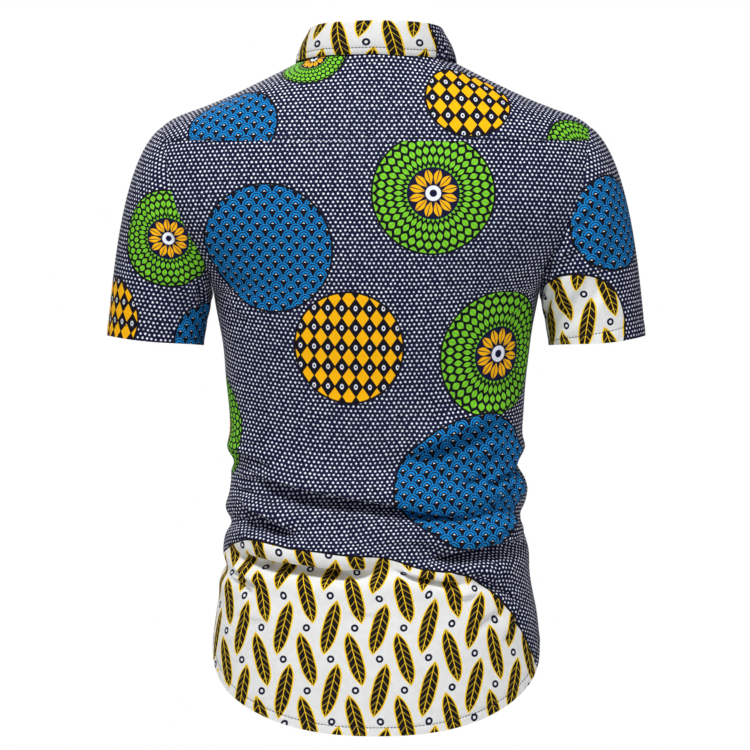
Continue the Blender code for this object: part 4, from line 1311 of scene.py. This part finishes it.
def buttonMesh():
    # the turned form with four holes drilled through it
    points, faces = turned(buttonProfile, button["radius"], button["thick"], button["sides"])
    form = addMesh("button_form", points, faces, shellFinish, sharp=None)
    rodProfile = ((0, 1), (1, 1), (1, 0), (0, 0))
    rod, rodFaces = turned(rodProfile, button["holeRadius"], button["thick"] * 3, button["holeSides"])
    out = button["holeOut"]
    rods = [rod + (x, y, -button["thick"]) for x in (-out, out) for y in (-out, out)]
    drillFaces = [tuple(v + k * len(rod) for v in face) for k in range(len(rods)) for face in rodFaces]
    drill = addMesh("button_drill", np.concatenate(rods), drillFaces, shellFinish, sharp=None)
    holes = form.modifiers.new("holes", "BOOLEAN")
    holes.operation = "DIFFERENCE"
    holes.solver = "EXACT"
    holes.object = drill
    mesh = bpy.data.meshes.new_from_object(form.evaluated_get(bpy.context.evaluated_depsgraph_get()))
    mesh.name = "button_shell"
    smooth(mesh, 38)
    bpy.data.objects.remove(form)
    bpy.data.objects.remove(drill)
    return mesh


def threadMesh():
    # two pairs of strands across the holes
    points = []
    faces = []
    level = buttonProfile[1][1] * button["thick"] + button["threadRadius"] * 0.6
    length = 2 * button["holeOut"] + button["threadSpare"]
    way, up = np.eye(3)[[0, 2]]
    for y in (-button["holeOut"], button["holeOut"]):
        for aside in (-button["threadOut"], button["threadOut"]):
            middle = np.array([0, y + aside, level])
            addBar(points, faces, middle, way, up, length, button["threadRadius"])
    made = addMesh("thread_form", points, faces, thread)
    mesh = made.data
    bpy.data.objects.remove(made)
    return mesh


def buttonMiddle(number):
    low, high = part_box(f"button_{number}")
    return (Vector(low) + Vector(high)) / 2 / mm


def makeButtons(facings):
    meshes = dict(shell=buttonMesh(), thread=threadMesh())
    for number, facing in facings.items():
        for kind, mesh in meshes.items():
            piece = addObject(f"button_{number}_{kind}", mesh)
            piece.rotation_mode = "QUATERNION"
            piece.rotation_quaternion = facing.to_track_quat("Z", "Y")
            piece.location = (buttonMiddle(number) - facing * button["thick"] / 2) * mm
            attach(piece, "root")
            if kind == "shell":
                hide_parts(f"button_{number}")


def clothLine(cloth, spots):
    # places on the front of the cloth and the normals there
    hits = [castOnto(cloth, (x, 300, z), (0, -1, 0)) for x, z in spots]
    return [np.array(part) for part in zip(*hits)]


def makeButtonholes(cloth):
    # whipped slits in the placket, under each button but the one on the collar stand
    half = button["slitHalf"]
    whips = []
    tacks = []
    for number in frontButtons:
        x, _, level = buttonMiddle(number)
        slit = np.linspace(level - half, level + half, 24)
        for aside in (-button["slitGap"], button["slitGap"]):
            whips.append(clothLine(cloth, [(x + aside, z) for z in slit]))
        for end in (level - half, level + half):
            ends = np.linspace(end - button["tackHalf"], end + button["tackHalf"], 5)
            tacks.append(clothLine(cloth, [(x, z) for z in ends]))
    close = dict(pitch=0.55, radius=0.26, lift=0.05, crosswise=True)
    for name, rows, length in (("buttonhole_whips", whips, 1.7), ("buttonhole_tacks", tacks, 3.6)):
        piece = stitchRows(name, rows, thread, length=length, **close)
        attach(piece, "root")


makeBack()
makeYoke()
leftPoints = makeFront("left", -1)
makeFront("right", 1)
makeSleeve("left", -1)
makeSleeve("right", 1)
print("cloth panels made")


def solidTree(names):
    # the frame's own outer faces, in mm, for laying the collar on them
    points = []
    faces = []
    for name in names:
        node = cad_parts[name]
        first = len(points)
        points += [node.matrix_world @ v.co / mm for v in node.data.vertices]
        faces += [tuple(v + first for v in face.vertices) for face in node.data.polygons]
    return BVHTree.FromPolygons(points, faces)


def gridTree(points):
    rows, count = points.shape[:2]
    first = (np.arange(rows - 1)[:, None] * count + np.arange(count - 1)).ravel()
    quads = np.stack([first, first + 1, first + count + 1, first + count], -1)
    return BVHTree.FromPolygons(points.reshape(-1, 3).tolist(), quads.tolist())


bed = solidTree(("back", "yoke", "front_left", "front_right"))
buttonFacings = {1: Vector((0, 1, 0))}
for number in frontButtons:
    buttonFacings[number] = castOnto(bed, (0.5, 300, buttonMiddle(number)[2]), (0, -1, 0))[1]
makeStand()
makeLeaf(bed)
makeButtons(buttonFacings)
makeButtonholes(gridTree(leftPoints))
print("collar and buttons made")

# floor, light and camera
studio = dict(floorLevel=-0.98, floorSize=20.0, backdrop=1.0, fill=0.26, aim=(0, 0, -0.35))
lamps = (
    ("key", (-0.6, -1.7, 2.3), (1.0, 0.6), 94),
    ("side", (2.2, -1.6, 0.5), (1.0, 1.6), 12),
    ("front", (-0.7, 2.6, 1.5), (1.6, 1.2), 46),
)
bpy.ops.mesh.primitive_plane_add(size=studio["floorSize"], location=(0, 0, studio["floorLevel"]))
floor = bpy.context.object
floor.name = "studio_floor"
floor.data.materials.append(plainMaterial("pale_floor", (0.78, 0.78, 0.78, 1), 0.9))

world = bpy.data.worlds.new("studio")
bpy.context.scene.world = world
world.use_nodes = True
sky = Graph(world.node_tree)
white = (1, 1, 1, 1)
soft = world.node_tree.nodes["Background"]
sky.feed(soft.inputs[0], white)
sky.feed(soft.inputs[1], studio["fill"])
seen = sky.node("ShaderNodeBackground", {0: white, 1: studio["backdrop"]})
ray = sky.node("ShaderNodeLightPath").outputs["Is Camera Ray"]
choose = sky.node("ShaderNodeMixShader", {0: ray, 1: soft.outputs[0], 2: seen.outputs[0]})
sky.feed(world.node_tree.nodes["World Output"].inputs[0], choose.outputs[0])

for name, place, size, power in lamps:
    light = bpy.data.lights.new(name, "AREA")
    light.shape = "RECTANGLE"
    light.size, light.size_y = size
    light.energy = power
    lamp = addObject(name, light)
    lamp.location = place
    lamp.rotation_mode = "QUATERNION"
    lamp.rotation_quaternion = (Vector(studio["aim"]) - Vector(place)).to_track_quat("-Z", "Y")

view = dict(distance=20.0, across=-0.0013, level=-0.3404, width=0.79275, sensor=36)
lens = bpy.data.cameras.new("camera")
lens.sensor_width = view["sensor"]
lens.lens = view["sensor"] * view["distance"] / view["width"]
camera = addObject("camera", lens)
camera.location = (view["across"], -view["distance"], view["level"])
camera.rotation_euler = (np.pi / 2, 0, 0)
bpy.context.scene.camera = camera
bpy.context.scene.view_settings.view_transform = "Standard"

print("stage set")
